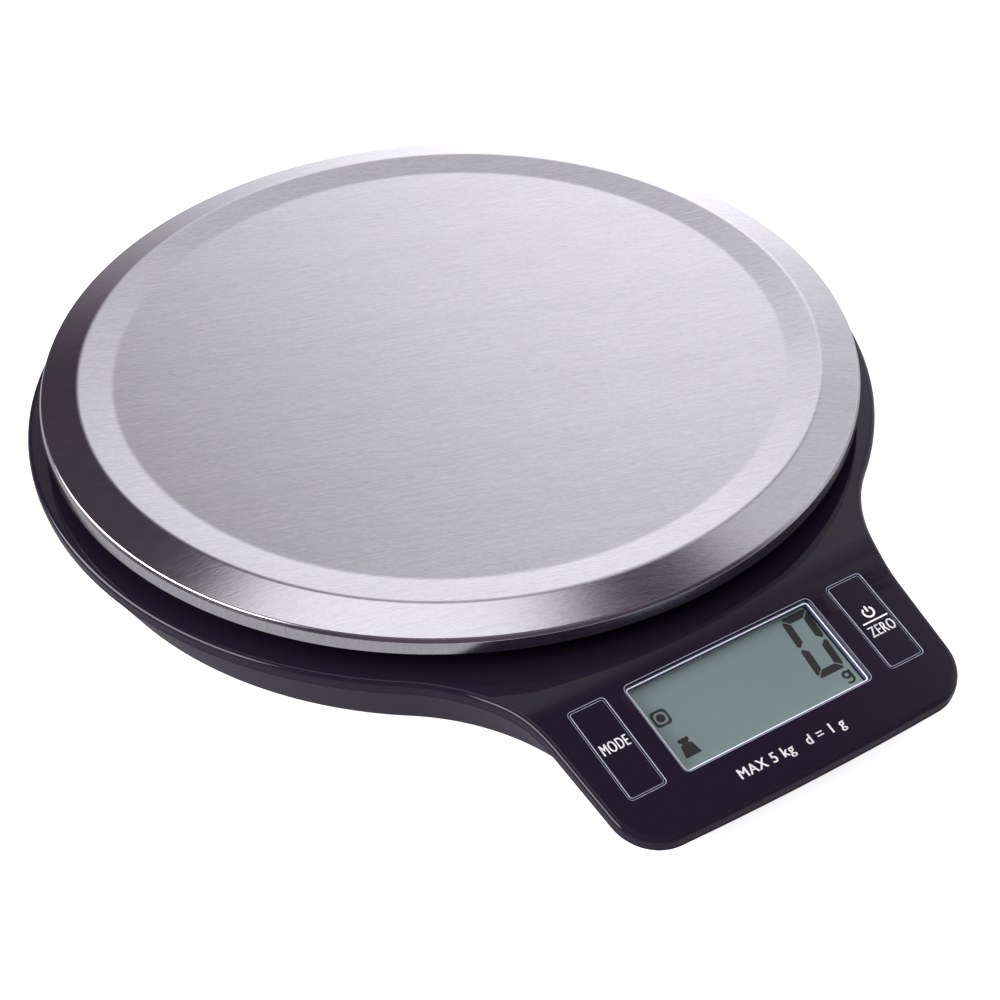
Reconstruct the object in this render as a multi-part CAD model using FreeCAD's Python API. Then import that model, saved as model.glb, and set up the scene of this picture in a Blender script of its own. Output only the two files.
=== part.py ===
import FreeCAD, Part
import math
import os

"""Digital kitchen scale: round stainless platform on a black body with a sloping front panel.

All sizes are in millimetres. While the pieces are modelled, the platform's axis is the Z axis
and the table top is z = 0. The panel faces -Y and +X is the user's right. Each shape is moved
along Y when it is written, so that the frame's origin lies under the middle of the whole scale.
"""

V = FreeCAD.Vector
X_AXIS, Y_AXIS, Z_AXIS = V(1, 0, 0), V(0, 1, 0), V(0, 0, 1)

# ---- Body outline in plan ----
ring_radius = 95.2            # round part under the platform
flare_radius = 43.0           # hollow curve from the ring into the neck
tongue_half_width = 41.8      # half the panel's width at its front edge
tongue_taper = math.radians(3.5)
front_y = -132.6
front_bow_radius = 900.0      # the front edge is very slightly bowed
corner_radius = 10.5

# ---- Body heights ----
base_z = 3.1                  # underside of the lower housing
top_z = 21.0                  # flat top round the platform
panel_slope = math.radians(15.0)
break_y = -95.5               # where the flat top turns down into the panel
blend_radius = 30.0           # rounding along that turn
wall = 2.0
skirt_height = 2.1            # edge of the upper housing above the parting line
lip_height = 1.1              # upright edge of the lower housing below it
lip_inset = 0.3
shell_inset = 0.5             # lower housing under its lip
knee_inset = 8.3              # foot of its sloping wall
knee_height = 0.8
sole_inset = 10.2             # flat underside
wall_across = 2.26            # sloping wall measured level
edge_radius = 1.1             # rounded top edge of the upper housing
rim_depth = 1.05              # locating rim inside the joint
rim_gap = 0.15
rim_width = 1.2
rim_zone = 0.5                # edges this close to the outline belong to its rim

# ---- Platform ----
disc_radius = 75.1
disc_z = 31.3
crease_radius = 82.9
crease_z = 32.0
bevel_radius = 91.0
bevel_z = 29.55
rim_radius = 91.5
rim_top_z = 29.05
rim_bottom_z = 25.6
pan_gauge = 0.6
tray_radius = 90.3
pad_gauge = 0.3
tray_top_z = disc_z - pan_gauge - pad_gauge
tray_gauge = 1.8
tray_step_radius = 84.0
tray_step_z = 28.8
tray_skirt_z = 26.2
tray_skirt_width = 1.6
rib_bottom_z = 24.5
rib_width = 1.6
rib_count = 8
peg_orbit = 60.0
peg_radius = 3.0
peg_count = 4
peg_bottom_z = top_z + 0.6    # overload stops, 0.6 above the body
pad_size = V(24.0, 12.0, pad_gauge)
pad_orbit = 56.0
pad_count = 6

# ---- Load cell and its fixings ----
cell_size = V(70.0, 12.0, 10.0)
cell_z = 7.5
cell_bore_radius = 3.8
cell_bore_x = 7.0
cell_slot = 2.4
cell_screw_x = (23.0, 31.0)
cell_tap_depth = 6.0
cell_screw_radius = 1.95
cell_hole_radius = 2.0
clearance_radius = 2.2
cell_head_radius = 3.5
cell_head_height = 1.9
head_well_radius = 3.9
tip_gap = 0.5                 # left between a screw's tip and the end of its thread
cross_width = 0.8             # cross recess in a screw's head
cross_depth = 0.4
cross_length = 4.2
cell_head_z = 3.7
tray_head_z = 26.0
boss_bottom_z = 22.0
spacer_length = 18.0
boss_size = V(20.0, 16.0, 0)
gauge_cover = V(20.0, 10.0, 1.2)
hub_window = V(24.0, 18.0, wall)

# ---- Panel, in its own frame: x across, v up the slope, w out of the panel ----
window_width = 46.2
window_length = 22.0
window_v = -15.3              # middle of the window and of the buttons
window_radius = 1.0
window_recess = 0.7
lens_gauge = 1.0
lens_gap = 0.1
view_width = 45.0
view_length = 21.4
ledge_margin = 2.5
ledge_w = -2.05
button_x = 32.45
button_width = 8.7
button_length = 22.5
button_gap = 0.15
button_top_w = -0.05
button_radius = 0.8
button_edge = 0.3
flange_top_w = -2.12
flange_gauge = 0.78
flange_margin = 0.85

# ---- Display and circuit board, in the panel's frame ----
glass_size = V(50.0, 23.6, 1.9)
glass_w = -4.0
frame_size = V(53.6, 26.6, 0)
frame_gap = 0.1
strip_size = V(46.0, 2.2, 2.0)
strip_v = -5.2
board_top_w = -6.0
board_gauge = 1.2
board_half_width = 35.0
board_front_v = -24.0
board_rear_v = 3.0
board_screw_x = 20.0
board_screw_v = 0.6
board_boss_radius = 2.2
board_screw_radius = 0.95
board_hole_radius = 1.15
board_screw_tip_w = -3.0
board_head_radius = 1.9
board_head_height = 1.3
switch_size = V(6.0, 6.0, 2.2)
switch_x = 32.0
plunger_radius = 1.7
plunger_gap = 0.05
plunger_length = 1.7
switch_floor = 0.8            # left under the plunger's well
blob_radius = 5.0
blob_height = 1.2
blob_edge = 0.96
blob_v = -13.0
chip_size = V(3.2, 1.6, 0.9)
chip_count = 7
chip_pitch = 9.6
chip_v = -3.0

# ---- Battery compartment ----
battery_y = -50.0
door_size = V(56.0, 32.0, 1.6)
door_gap = 0.2
pocket_size = V(50.0, 27.0, 4.3)
pocket_wall = 1.6
roof_gauge = 1.4
hinge_radius = door_size.z / 2
pin_radius = 0.5
pin_length = 1.0
pin_gap = 0.05
notch_radius = 7.0
notch_depth = 1.2
latch_half_width = 6.0
latch_slot = V(0.8, 8.0, door_size.z * 3)
latch_edge = 0.1              # how far the slots run past the door's edge
coin_radius = 10.0
coin_height = 3.2
coin_cap_radius = 8.5
coin_cap_height = 0.64
coin_x = 11.5
coin_z = 5.7
foam_size = V(40.0, 18.0, 0.8)
contact_gauge = 0.3
contact_width = 6.0
contact_top_z = 13.0
tab_depth = 0.8               # from a contact's top down to its wire

# ---- Feet, housing screws and wires ----
foot_radius = 6.0
foot_sink = 1.0
foot_edge = 0.8
foot_offset = 52.0
screw_orbit = 74.0
neck_screw = V(34.0, -84.5, 0)
screw_boss_radius = 3.4
screw_pad_radius = 4.2
screw_pad_z = 9.0
screw_seat_z = 6.6
screw_head_radius = 2.8
screw_head_height = 2.0
screw_shank_radius = 1.35
screw_pilot_top_z = 17.5
screw_length = 10.0
screw_well_radius = 3.3
screw_hole_radius = 1.55
wire_radius = 0.45
wire_pitch = 3.0
wire_count = 4
wire_start_z = 18.1
wire_low_z = 13.8
wire_rise = 0.8               # over the rear edge of the battery compartment
wire_bend_y = (-14.0, -32.0, -58.0)
wire_fan = (1.1, 1.2, 1.3)    # how far the wires have spread at each bend and at the board
board_lead = 8.0              # straight run into the board's edge
tab_lead = V(0, -7.0, 0)      # first two runs of a wire from a contact's tab
tab_climb = V(0, -7.0, 1.0)

REACH = 200.0                 # larger than the scale in every direction
PAST = 1.0                    # how far a cut runs past the face it opens
JOIN = 0.5                    # how far a rib or peg reaches into what carries it


def save(node, shape):
    """Write one node, moved so that the origin is under the middle of the footprint."""
    shape = shape.copy()
    shape.translate(V(0, -(front_y + ring_radius) / 2, 0))
    shape.exportStep(f"parts/{node}.step")


def block(size, centre, bottom):
    """Box of a size, centred in plan, standing on a height."""
    return Part.makeBox(size.x, size.y, size.z, V(centre.x - size.x / 2, centre.y - size.y / 2, bottom))


def post(radius, x, y, z0, z1):
    """Upright cylinder between two heights."""
    return Part.makeCylinder(radius, z1 - z0, V(x, y, z0))


def rounded_block(size, centre, bottom, radius):
    """Box with its four upright edges rounded."""
    body = block(size, centre, bottom)
    upright = [e for e in body.Edges if abs(e.tangentAt(e.FirstParameter).z) > 0.99]
    return body.makeFillet(radius, upright)


def in_panel(shape):
    """Move a shape from the panel's frame to its place on the scale."""
    turned = shape.copy()
    rotation = FreeCAD.Rotation(X_AXIS, math.degrees(panel_slope))
    turned.Placement = FreeCAD.Placement(V(0, break_y, top_z), rotation)
    return turned


def panel_point(x, v, w):
    """Place on the scale of a point given in the panel's frame."""
    c, s = math.cos(panel_slope), math.sin(panel_slope)
    return V(x, break_y + v * c - w * s, top_z + v * s + w * c)


# ---- Outline ----

side_out = V(math.cos(tongue_taper), -math.sin(tongue_taper), 0)
side_back = V(math.sin(tongue_taper), math.cos(tongue_taper), 0)
side_foot = V(tongue_half_width, front_y, 0)
bow_centre = V(0, front_y + front_bow_radius, 0)


def centre_beside(offset, pole, reach):
    """Centre of an arc that touches the tongue's side line and lies at reach from pole."""
    start = side_foot + side_out * offset
    along = (start - pole).dot(side_back)
    rest = (start - pole).Length ** 2 - reach ** 2
    return start + side_back * (-along - math.sqrt(along ** 2 - rest))


flare_centre = centre_beside(flare_radius, V(0, 0, 0), ring_radius + flare_radius)
corner_centre = centre_beside(-corner_radius, bow_centre, front_bow_radius - corner_radius)


def toward(start, end):
    """Unit vector from one point to another."""
    return (end - start).normalize()


def mirrored(point):
    return V(-point.x, point.y, point.z)


def arc_about(centre, radius, start, end):
    """Arc round a centre, through the middle direction of its two ends."""
    middle = toward(centre, (start + end) * 0.5)
    return Part.Arc(start, centre + middle * radius, end).toShape()


def half_points(inset):
    """Where the right half's arcs and lines meet, for the outline moved inwards by inset."""
    flare = flare_radius + inset
    drop = break_y - flare_centre.y
    corner = corner_radius - inset
    front = toward(bow_centre, corner_centre)
    return {
        "neck": toward(V(0, 0, 0), flare_centre) * (ring_radius - inset),
        "break": V(flare_centre.x - math.sqrt(flare ** 2 - drop ** 2), break_y, 0),
        "side": flare_centre - side_out * flare,
        "corner": corner_centre + side_out * corner,
        "front": corner_centre + front * corner,
    }


def right_side(inset, first):
    """Right half from the neck or the break down to the front, as edges in order."""
    p = half_points(inset)
    flare = arc_about(flare_centre, flare_radius + inset, p[first], p["side"])
    side = Part.LineSegment(p["side"], p["corner"]).toShape()
    corner = arc_about(corner_centre, corner_radius - inset, p["corner"], p["front"])
    return [flare, side, corner]


def left_side(inset, first):
    """The same edges on the left."""
    return [e.mirror(V(0, 0, 0), X_AXIS) for e in right_side(inset, first)]


def front_edge(inset):
    p = half_points(inset)["front"]
    return Part.Arc(p, V(0, front_y + inset, 0), mirrored(p)).toShape()


def closed_face(edges, z):
    """Flat face at a height from edges that form a ring."""
    wire = Part.Wire(Part.sortEdges(edges)[0])
    wire.translate(V(0, 0, z))
    return Part.Face(wire)


def outline_face(inset, z):
    """Whole outline."""
    p = half_points(inset)["neck"]
    ring = Part.Arc(p, V(0, ring_radius - inset, 0), mirrored(p)).toShape()
    sides = right_side(inset, "neck") + left_side(inset, "neck")
    return closed_face([ring, front_edge(inset)] + sides, z)


def rear_face(inset, z):
    """Outline behind the break, closed by a straight chord."""
    p = half_points(inset)
    ring = Part.Arc(p["neck"], V(0, ring_radius - inset, 0), mirrored(p["neck"])).toShape()
    flare = arc_about(flare_centre, flare_radius + inset, p["neck"], p["break"])
    chord = Part.LineSegment(p["break"], mirrored(p["break"])).toShape()
    return closed_face([ring, flare, flare.mirror(V(0, 0, 0), X_AXIS), chord], z)


def fore_face(inset, z):
    """Outline in front of the break, closed by the same chord."""
    p = half_points(inset)["break"]
    chord = Part.LineSegment(p, mirrored(p)).toShape()
    sides = right_side(inset, "break") + left_side(inset, "break")
    return closed_face([chord, front_edge(inset)] + sides, z)


def prism(inset, z0, z1):
    """Upright block with the outline's plan."""
    return outline_face(inset, z0).extrude(V(0, 0, z1 - z0))


def under_top(drop):
    """Everything below the top surface lowered by drop: flat, rounded turn, sloping panel."""
    z = top_z - drop
    half = blend_radius * math.tan(panel_slope / 2)
    centre = V(-REACH, break_y + half, z - blend_radius)

    def on_blend(angle):
        return centre + V(0, -math.sin(angle), math.cos(angle)) * blend_radius

    front_z = z - (break_y + REACH) * math.tan(panel_slope)
    corners = [V(-REACH, -REACH, front_z), V(-REACH, -REACH, -REACH), V(-REACH, REACH, -REACH),
               V(-REACH, REACH, z), on_blend(0)]
    edges = [Part.LineSegment(a, b).toShape() for a, b in zip(corners, corners[1:])]
    edges.append(Part.Arc(on_blend(0), on_blend(panel_slope / 2), on_blend(panel_slope)).toShape())
    edges.append(Part.LineSegment(on_blend(panel_slope), corners[0]).toShape())
    return Part.Face(Part.Wire(edges)).extrude(V(2 * REACH, 0, 0))


def layer(inset, upper, lower):
    """Slab of the outline's plan between two surfaces parallel to the top."""
    slab = prism(inset, -REACH, REACH).common(under_top(upper))
    return slab.cut(under_top(lower))


def sloping_tub(sections, top_inset, top_drop):
    """Solid that widens from level sections to the slope-topped one, with straight walls."""
    shear = FreeCAD.Matrix()
    shear.A32 = math.tan(panel_slope)
    shear.A34 = -math.tan(panel_slope) * break_y
    z_top = top_z - top_drop
    rear = [rear_face(inset, z).OuterWire for inset, z in sections]
    rear.append(rear_face(top_inset, z_top).OuterWire)
    fore = [fore_face(inset, z).OuterWire for inset, z in sections]
    fore.append(fore_face(top_inset, z_top).transformGeometry(shear).Faces[0].OuterWire)
    halves = [Part.makeLoft(wires, True, True) for wires in (rear, fore)]
    return halves[0].fuse(halves[1])


# ---- Where things repeat ----

screw_places = [V(0, screw_orbit, 0), V(screw_orbit, 0, 0), V(-screw_orbit, 0, 0),
                neck_screw, mirrored(neck_screw)]
foot_places = {
    "front_left": V(-foot_offset, -foot_offset, 0),
    "front_right": V(foot_offset, -foot_offset, 0),
    "rear_left": V(-foot_offset, foot_offset, 0),
    "rear_right": V(foot_offset, foot_offset, 0),
}
board_screw_places = [V(-board_screw_x, board_screw_v, 0), V(0, board_screw_v, 0),
                      V(board_screw_x, board_screw_v, 0)]
compartment = V(0, battery_y, 0)
door_seat_z = base_z + door_size.z + door_gap
roof_z = door_seat_z + pocket_size.z
hinge_y = battery_y + door_size.y / 2 - hinge_radius
hinge_z = base_z + hinge_radius
cell_top_z = cell_z + cell_size.z


# ---- Housings ----

def upper_housing():
    """Gloss shell: flat top, sloping panel, window, button openings and bosses."""
    shell = layer(0, 0, skirt_height)
    rounded = [e for e in shell.Edges if is_top_rim(e)]
    shell = shell.makeFillet(edge_radius, rounded)
    shell = shell.cut(layer(wall, wall, skirt_height + wall))
    outer_rim = shell_inset + wall_across + rim_gap
    rim = layer(outer_rim, wall - rim_gap, wall + rim_depth)
    shell = shell.fuse(rim.cut(layer(outer_rim + rim_width, 0, wall + rim_depth + wall)))
    ledge = V(window_width + 2 * ledge_margin, window_length + 2 * ledge_margin, wall + PAST)
    shell = shell.fuse(in_panel(block(ledge, V(0, window_v, 0), ledge_w)).common(under_top(wall / 2)))
    for place in screw_places:
        shell = shell.fuse(post(screw_boss_radius, place.x, place.y, screw_pad_z, top_z - wall / 2))
    for place in board_screw_places:
        boss = in_panel(post(board_boss_radius, place.x, place.y, board_top_w, 0))
        shell = shell.fuse(boss.common(under_top(wall / 2)))
    cuts = [post(screw_shank_radius, p.x, p.y, screw_pad_z - PAST, screw_pilot_top_z) for p in screw_places]
    for place in board_screw_places:
        cuts.append(in_panel(post(board_screw_radius, place.x, place.y, board_top_w - PAST, -wall)))
    pocket = V(window_width, window_length, REACH)
    view = V(view_width, view_length, 2 * REACH)
    middle = V(0, window_v, 0)
    cuts.append(in_panel(rounded_block(pocket, middle, -window_recess - lens_gauge, window_radius)))
    cuts.append(in_panel(block(view, middle, -REACH)).common(under_top(-wall)))
    opening = V(button_width, button_length, wall * 3)
    for side in (-1, 1):
        centre = V(side * button_x, window_v, 0)
        cuts.append(in_panel(rounded_block(opening, centre, -wall * 2, button_radius)))
    hub_x = (cell_screw_x[0] + cell_screw_x[1]) / 2
    cuts.append(block(V(hub_window.x, hub_window.y, wall * 2), V(hub_x, 0, 0), top_z - wall * 1.5))
    return shell.cut(cuts)


def is_top_rim(edge):
    """True for the outer edges of the top surface, not for the lines across it."""
    points = [edge.valueAt(edge.FirstParameter), edge.valueAt(edge.LastParameter)]
    points.append(edge.valueAt((edge.FirstParameter + edge.LastParameter) / 2))
    on_top = under_top(0)
    inside = prism(rim_zone, -REACH, REACH)
    return all(is_on_skin(on_top, p) for p in points) and not inside.isInside(points[2], 1e-6, True)


def is_on_skin(solid, point):
    return solid.distToShape(Part.Vertex(point))[0] < 1e-5 and not solid.isInside(point, 1e-4, False)


def lower_housing():
    """Tub: sloping wall, sole, load cell pad, screw pads, foot recesses, battery compartment."""
    sole = base_z + wall
    sections = [(sole_inset, base_z), (knee_inset, base_z + knee_height)]
    joint = skirt_height + lip_height
    shell = sloping_tub(sections, shell_inset, joint).common(under_top(joint))
    shell = shell.fuse(layer(lip_inset, skirt_height, joint))
    inner_inset = shell_inset + wall_across
    hollow = sloping_tub([(knee_inset + wall_across - wall / 2, sole)], inner_inset, joint)
    shell = shell.cut(hollow.fuse(layer(inner_inset, 0, joint)))
    for place in screw_places:
        shell = shell.fuse(post(screw_pad_radius, place.x, place.y, base_z + wall / 2, screw_pad_z))
    pad_x = -(cell_screw_x[0] + cell_screw_x[1]) / 2
    pad = V(spacer_length, cell_size.y + wall, cell_z - base_z - wall / 2)
    shell = shell.fuse(block(pad, V(pad_x, 0, 0), base_z + wall / 2))
    box = V(door_size.x + 2 * (door_gap + pocket_wall), door_size.y + 2 * (door_gap + pocket_wall),
            roof_z + roof_gauge - base_z)
    shell = shell.fuse(block(box, compartment, base_z))
    return shell.cut(lower_housing_cuts())


def lower_housing_cuts():
    """Everything that is taken out of the tub."""
    cuts = []
    for place in screw_places:
        cuts.append(post(screw_well_radius, place.x, place.y, 0, screw_seat_z))
        cuts.append(post(screw_hole_radius, place.x, place.y, 0, screw_pad_z + PAST))
    for x in cell_screw_x:
        cuts.append(post(head_well_radius, -x, 0, 0, cell_head_z + cell_head_height))
        cuts.append(post(clearance_radius, -x, 0, 0, cell_z + PAST))
    for place in foot_places.values():
        cuts.append(post(foot_radius, place.x, place.y, 0, base_z + foot_sink))
    recess = V(door_size.x + 2 * door_gap, door_size.y + 2 * door_gap, door_seat_z)
    cuts.append(block(recess, compartment, 0))
    cuts.append(block(pocket_size, compartment, door_seat_z))
    slot = V(contact_width + 2 * door_gap, contact_gauge * 3, roof_gauge * 2)
    for side in (-1, 1):
        start = V(side * (door_size.x / 2), hinge_y, hinge_z)
        span = pin_length + pin_gap + door_gap
        cuts.append(Part.makeCylinder(pin_radius + pin_gap, span, start, X_AXIS * side))
        cuts.append(block(slot, V(side * coin_x, contact_y, 0), roof_z - roof_gauge / 2))
    notch_y = battery_y - door_size.y / 2 - door_gap
    notch = Part.makeCylinder(notch_radius, notch_depth, V(0, notch_y, base_z))
    cuts.append(notch)
    return cuts


# ---- Platform ----

def turned(points):
    """Ring or disc made by turning a closed profile of (radius, height) points."""
    corners = [V(r, 0, z) for r, z in points]
    return Part.Face(Part.makePolygon(corners + corners[:1])).revolve(V(0, 0, 0), Z_AXIS, 360)


def platform_pan():
    """Pressed sheet: recessed disc, raised crease, outer bevel and turned-down rim."""
    outside = [(0, disc_z), (disc_radius, disc_z), (crease_radius, crease_z),
               (bevel_radius, bevel_z), (rim_radius, rim_top_z), (rim_radius, rim_bottom_z)]
    inner_rim = rim_radius - pan_gauge
    inside = [(inner_rim, rim_bottom_z), (inner_rim, rim_top_z - pan_gauge / 2),
              (bevel_radius - pan_gauge / 2, bevel_z - pan_gauge), (crease_radius, crease_z - pan_gauge),
              (disc_radius, disc_z - pan_gauge), (0, disc_z - pan_gauge)]
    return turned(outside + inside)


def platform_tray():
    """Plastic carrier: stepped disc, radial ribs, screw boss and overload pegs."""
    under = tray_top_z - tray_gauge
    flange = tray_step_z - tray_gauge
    inner = tray_step_radius - wall
    skirt = tray_radius - tray_skirt_width
    tray = turned([(0, under), (inner, under), (inner, flange), (skirt, flange), (skirt, tray_skirt_z),
                   (tray_radius, tray_skirt_z), (tray_radius, tray_step_z),
                   (tray_step_radius, tray_step_z), (tray_step_radius, tray_top_z), (0, tray_top_z)])
    rib = block(V(inner, rib_width, under - rib_bottom_z + JOIN), V(inner / 2, 0, 0), rib_bottom_z)
    for i in range(rib_count):
        spoke = rib.copy()
        spoke.rotate(V(0, 0, 0), Z_AXIS, (i + 1 / 2) * 360 / rib_count)
        tray = tray.fuse(spoke)
    for i in range(peg_count):
        angle = math.radians(i * 360 / peg_count)
        x, y = peg_orbit * math.cos(angle), peg_orbit * math.sin(angle)
        tray = tray.fuse(post(peg_radius, x, y, peg_bottom_z, under + JOIN))
    boss_x = (cell_screw_x[0] + cell_screw_x[1]) / 2
    boss = V(boss_size.x, boss_size.y, under + JOIN - boss_bottom_z)
    tray = tray.fuse(block(boss, V(boss_x, 0, 0), boss_bottom_z))
    for x in cell_screw_x:
        tray = tray.cut(post(head_well_radius, x, 0, tray_head_z, tray_top_z + PAST))
        tray = tray.cut(post(clearance_radius, x, 0, boss_bottom_z - PAST, tray_head_z + PAST))
    return tray


def adhesive_pads():
    """Thin foam patches between pan and tray."""
    pads = []
    for i in range(pad_count):
        patch = block(pad_size, V(0, pad_orbit, 0), tray_top_z)
        patch.rotate(V(0, 0, 0), Z_AXIS, i * 360 / pad_count)
        pads.append(patch)
    return Part.makeCompound(pads)


# ---- Load cell ----

def load_cell():
    """Aluminium bending beam with the joined double bore across it."""
    beam = block(cell_size, V(0, 0, 0), cell_z)
    mid_z = cell_z + cell_size.z / 2
    for side in (-1, 1):
        start = V(side * cell_bore_x, -cell_size.y, mid_z)
        beam = beam.cut(Part.makeCylinder(cell_bore_radius, 2 * cell_size.y, start, Y_AXIS))
    slot = V(2 * cell_bore_x, 2 * cell_size.y, cell_slot)
    beam = beam.cut(block(slot, V(0, 0, 0), mid_z - cell_slot / 2))
    for x in cell_screw_x:
        beam = beam.cut(post(cell_hole_radius, -x, 0, cell_z - PAST, cell_z + cell_tap_depth))
        beam = beam.cut(post(cell_hole_radius, x, 0, cell_top_z - cell_tap_depth, cell_top_z + PAST))
    return beam


def gauge_covers():
    """Sealant over the strain gauges, on the beam and under it."""
    above = block(gauge_cover, V(0, 0, 0), cell_top_z)
    below = block(gauge_cover, V(0, 0, 0), cell_z - gauge_cover.z)
    return Part.makeCompound([above, below])


def load_cell_spacer():
    """Metal block that carries the tray on the free end of the beam."""
    x = (cell_screw_x[0] + cell_screw_x[1]) / 2
    size = V(spacer_length, cell_size.y, boss_bottom_z - cell_top_z)
    spacer = block(size, V(x, 0, 0), cell_top_z)
    for x in cell_screw_x:
        spacer = spacer.cut(post(clearance_radius, x, 0, cell_top_z - PAST, boss_bottom_z + PAST))
    return spacer


def machine_screw(x, seat_z, tip_z):
    """Screw with a round cross-recessed head, its seat at one height and its tip at another."""
    up = 1 if tip_z > seat_z else -1
    head = Part.makeCylinder(cell_head_radius, cell_head_height, V(x, 0, seat_z), Z_AXIS * -up)
    shank = Part.makeCylinder(cell_screw_radius, abs(tip_z - seat_z), V(x, 0, seat_z), Z_AXIS * up)
    slot = V(cross_length, cross_width, 2 * cross_depth)
    top = seat_z - up * cell_head_height
    cross = block(slot, V(x, 0, 0), top - slot.z / 2)
    cross_turned = block(V(slot.y, slot.x, slot.z), V(x, 0, 0), top - slot.z / 2)
    return head.fuse(shank).cut([cross, cross_turned])


# ---- Panel parts, modelled in the panel's frame ----

def display_window():
    """Clear sheet that lies in the window's pocket."""
    size = V(window_width - 2 * lens_gap, window_length - 2 * lens_gap, lens_gauge)
    return rounded_block(size, V(0, window_v, 0), -window_recess - lens_gauge, window_radius - lens_gap)


def display_glass():
    """Two bonded plates, the rear one longer where the contacts are."""
    front = V(glass_size.x, glass_size.y - strip_size.y, glass_size.z / 2)
    rear = V(glass_size.x, glass_size.y, glass_size.z / 2)
    plate = block(rear, V(0, window_v, 0), glass_w)
    return plate.fuse(block(front, V(0, window_v - strip_size.y / 2, 0), glass_w + rear.z))


def display_frame():
    """Plastic frame round the glass, between panel and board."""
    height = ledge_w - board_top_w
    outer = V(frame_size.x, frame_size.y, height)
    inner = V(glass_size.x + 2 * frame_gap, glass_size.y + 2 * frame_gap, height * 3)
    frame = rounded_block(outer, V(0, window_v, 0), board_top_w, window_radius)
    return frame.cut(block(inner, V(0, window_v, 0), board_top_w - height))


def connector_strip():
    """Rubber strip that joins the glass to the board."""
    return block(strip_size, V(0, strip_v, 0), board_top_w)


def circuit_board():
    """Board with screw holes."""
    length = board_rear_v - board_front_v
    size = V(2 * board_half_width, length, board_gauge)
    board = block(size, V(0, (board_rear_v + board_front_v) / 2, 0), board_top_w - board_gauge)
    for p in board_screw_places:
        hole = post(board_hole_radius, p.x, p.y, board_top_w - 2 * board_gauge, board_top_w + PAST)
        board = board.cut(hole)
    return board


def board_screws():
    screws = []
    under = board_top_w - board_gauge
    for p in board_screw_places:
        head = post(board_head_radius, p.x, p.y, under - board_head_height, under)
        screws.append(head.fuse(post(board_screw_radius, p.x, p.y, under, board_screw_tip_w)))
    return Part.makeCompound(screws)


def processor_blob():
    """Domed drop of resin over the chip, under the board."""
    under = board_top_w - board_gauge
    blob = post(blob_radius, 0, blob_v, under - blob_height, under)
    lower = [e for e in blob.Edges if e.BoundBox.ZMax < under - blob_height / 2]
    return blob.makeFillet(blob_edge, lower)


def board_parts():
    """Row of small parts under the board."""
    under = board_top_w - board_gauge
    parts = []
    for i in range(chip_count):
        x = (i - (chip_count - 1) / 2) * chip_pitch
        parts.append(block(chip_size, V(x, chip_v, 0), under - chip_size.z))
    return Part.makeCompound(parts)


def switch_base(side):
    """Body of a push switch with a round well for its plunger."""
    centre = V(side * switch_x, window_v, 0)
    top = board_top_w + switch_size.z
    base = block(switch_size, centre, board_top_w)
    well = post(plunger_radius + plunger_gap, centre.x, centre.y, board_top_w + switch_floor, top + PAST)
    return base.cut(well)


def switch_plunger(side):
    bottom = flange_top_w - flange_gauge - plunger_length
    return post(plunger_radius, side * switch_x, window_v, bottom, bottom + plunger_length)


def button_cap(side):
    """Long key with softened edges on a flange that keeps it in the panel."""
    centre = V(side * button_x, window_v, 0)
    size = V(button_width - 2 * button_gap, button_length - 2 * button_gap, button_top_w - flange_top_w)
    key = rounded_block(size, centre, flange_top_w, button_radius - button_gap)
    top = [e for e in key.Edges if e.BoundBox.ZMin > button_top_w - button_edge]
    key = key.makeFillet(button_edge, top)
    flange = V(size.x + 2 * flange_margin, size.y + 2 * flange_margin, flange_gauge)
    return key.fuse(block(flange, centre, flange_top_w - flange_gauge))


# ---- Battery compartment ----

contact_y = battery_y - coin_radius - contact_gauge / 2


def battery_door():
    """Flat door with a rounded hinge edge, two pins and a springy latch tab."""
    flat = V(door_size.x, door_size.y - hinge_radius, door_size.z)
    door = block(flat, V(0, battery_y - hinge_radius / 2, 0), base_z)
    start = V(-door_size.x / 2, hinge_y, hinge_z)
    door = door.fuse(Part.makeCylinder(hinge_radius, door_size.x, start, X_AXIS))
    pin_start = start - X_AXIS * pin_length
    door = door.fuse(Part.makeCylinder(pin_radius, door_size.x + 2 * pin_length, pin_start, X_AXIS))
    slot_y = battery_y - (door_size.y - latch_slot.y) / 2 - latch_edge
    slots = [block(latch_slot, V(side * latch_half_width, slot_y, 0), 0) for side in (-1, 1)]
    return door.cut(slots)


def coin_cell(side):
    """Button battery: wide can with a narrower cap."""
    top = coin_z + coin_height
    can = post(coin_radius, side * coin_x, battery_y, coin_z, top - coin_cap_height)
    return can.fuse(post(coin_cap_radius, side * coin_x, battery_y, coin_z, top))


def side_contact(side):
    """Upright spring strip at a cell's edge, reaching through the roof."""
    size = V(contact_width, contact_gauge, contact_top_z - coin_z)
    return block(size, V(side * coin_x, contact_y, 0), coin_z)


def bridge_contact():
    """Strip under the roof that joins the two cells."""
    size = V(2 * coin_x + contact_width, contact_width, contact_gauge)
    return block(size, compartment, coin_z + coin_height)


# ---- Small things that repeat ----

def foot(place):
    """Rubber foot with a softened lower edge."""
    body = post(foot_radius, place.x, place.y, 0, base_z + foot_sink)
    return body.makeFillet(foot_edge, [e for e in body.Edges if e.BoundBox.ZMax < foot_edge])


def housing_screw(place):
    """Self-tapping screw from below."""
    head = post(screw_head_radius, place.x, place.y, screw_seat_z - screw_head_height, screw_seat_z)
    tip_z = screw_seat_z + screw_length
    return head.fuse(post(screw_shank_radius, place.x, place.y, screw_seat_z, tip_z))


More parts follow.
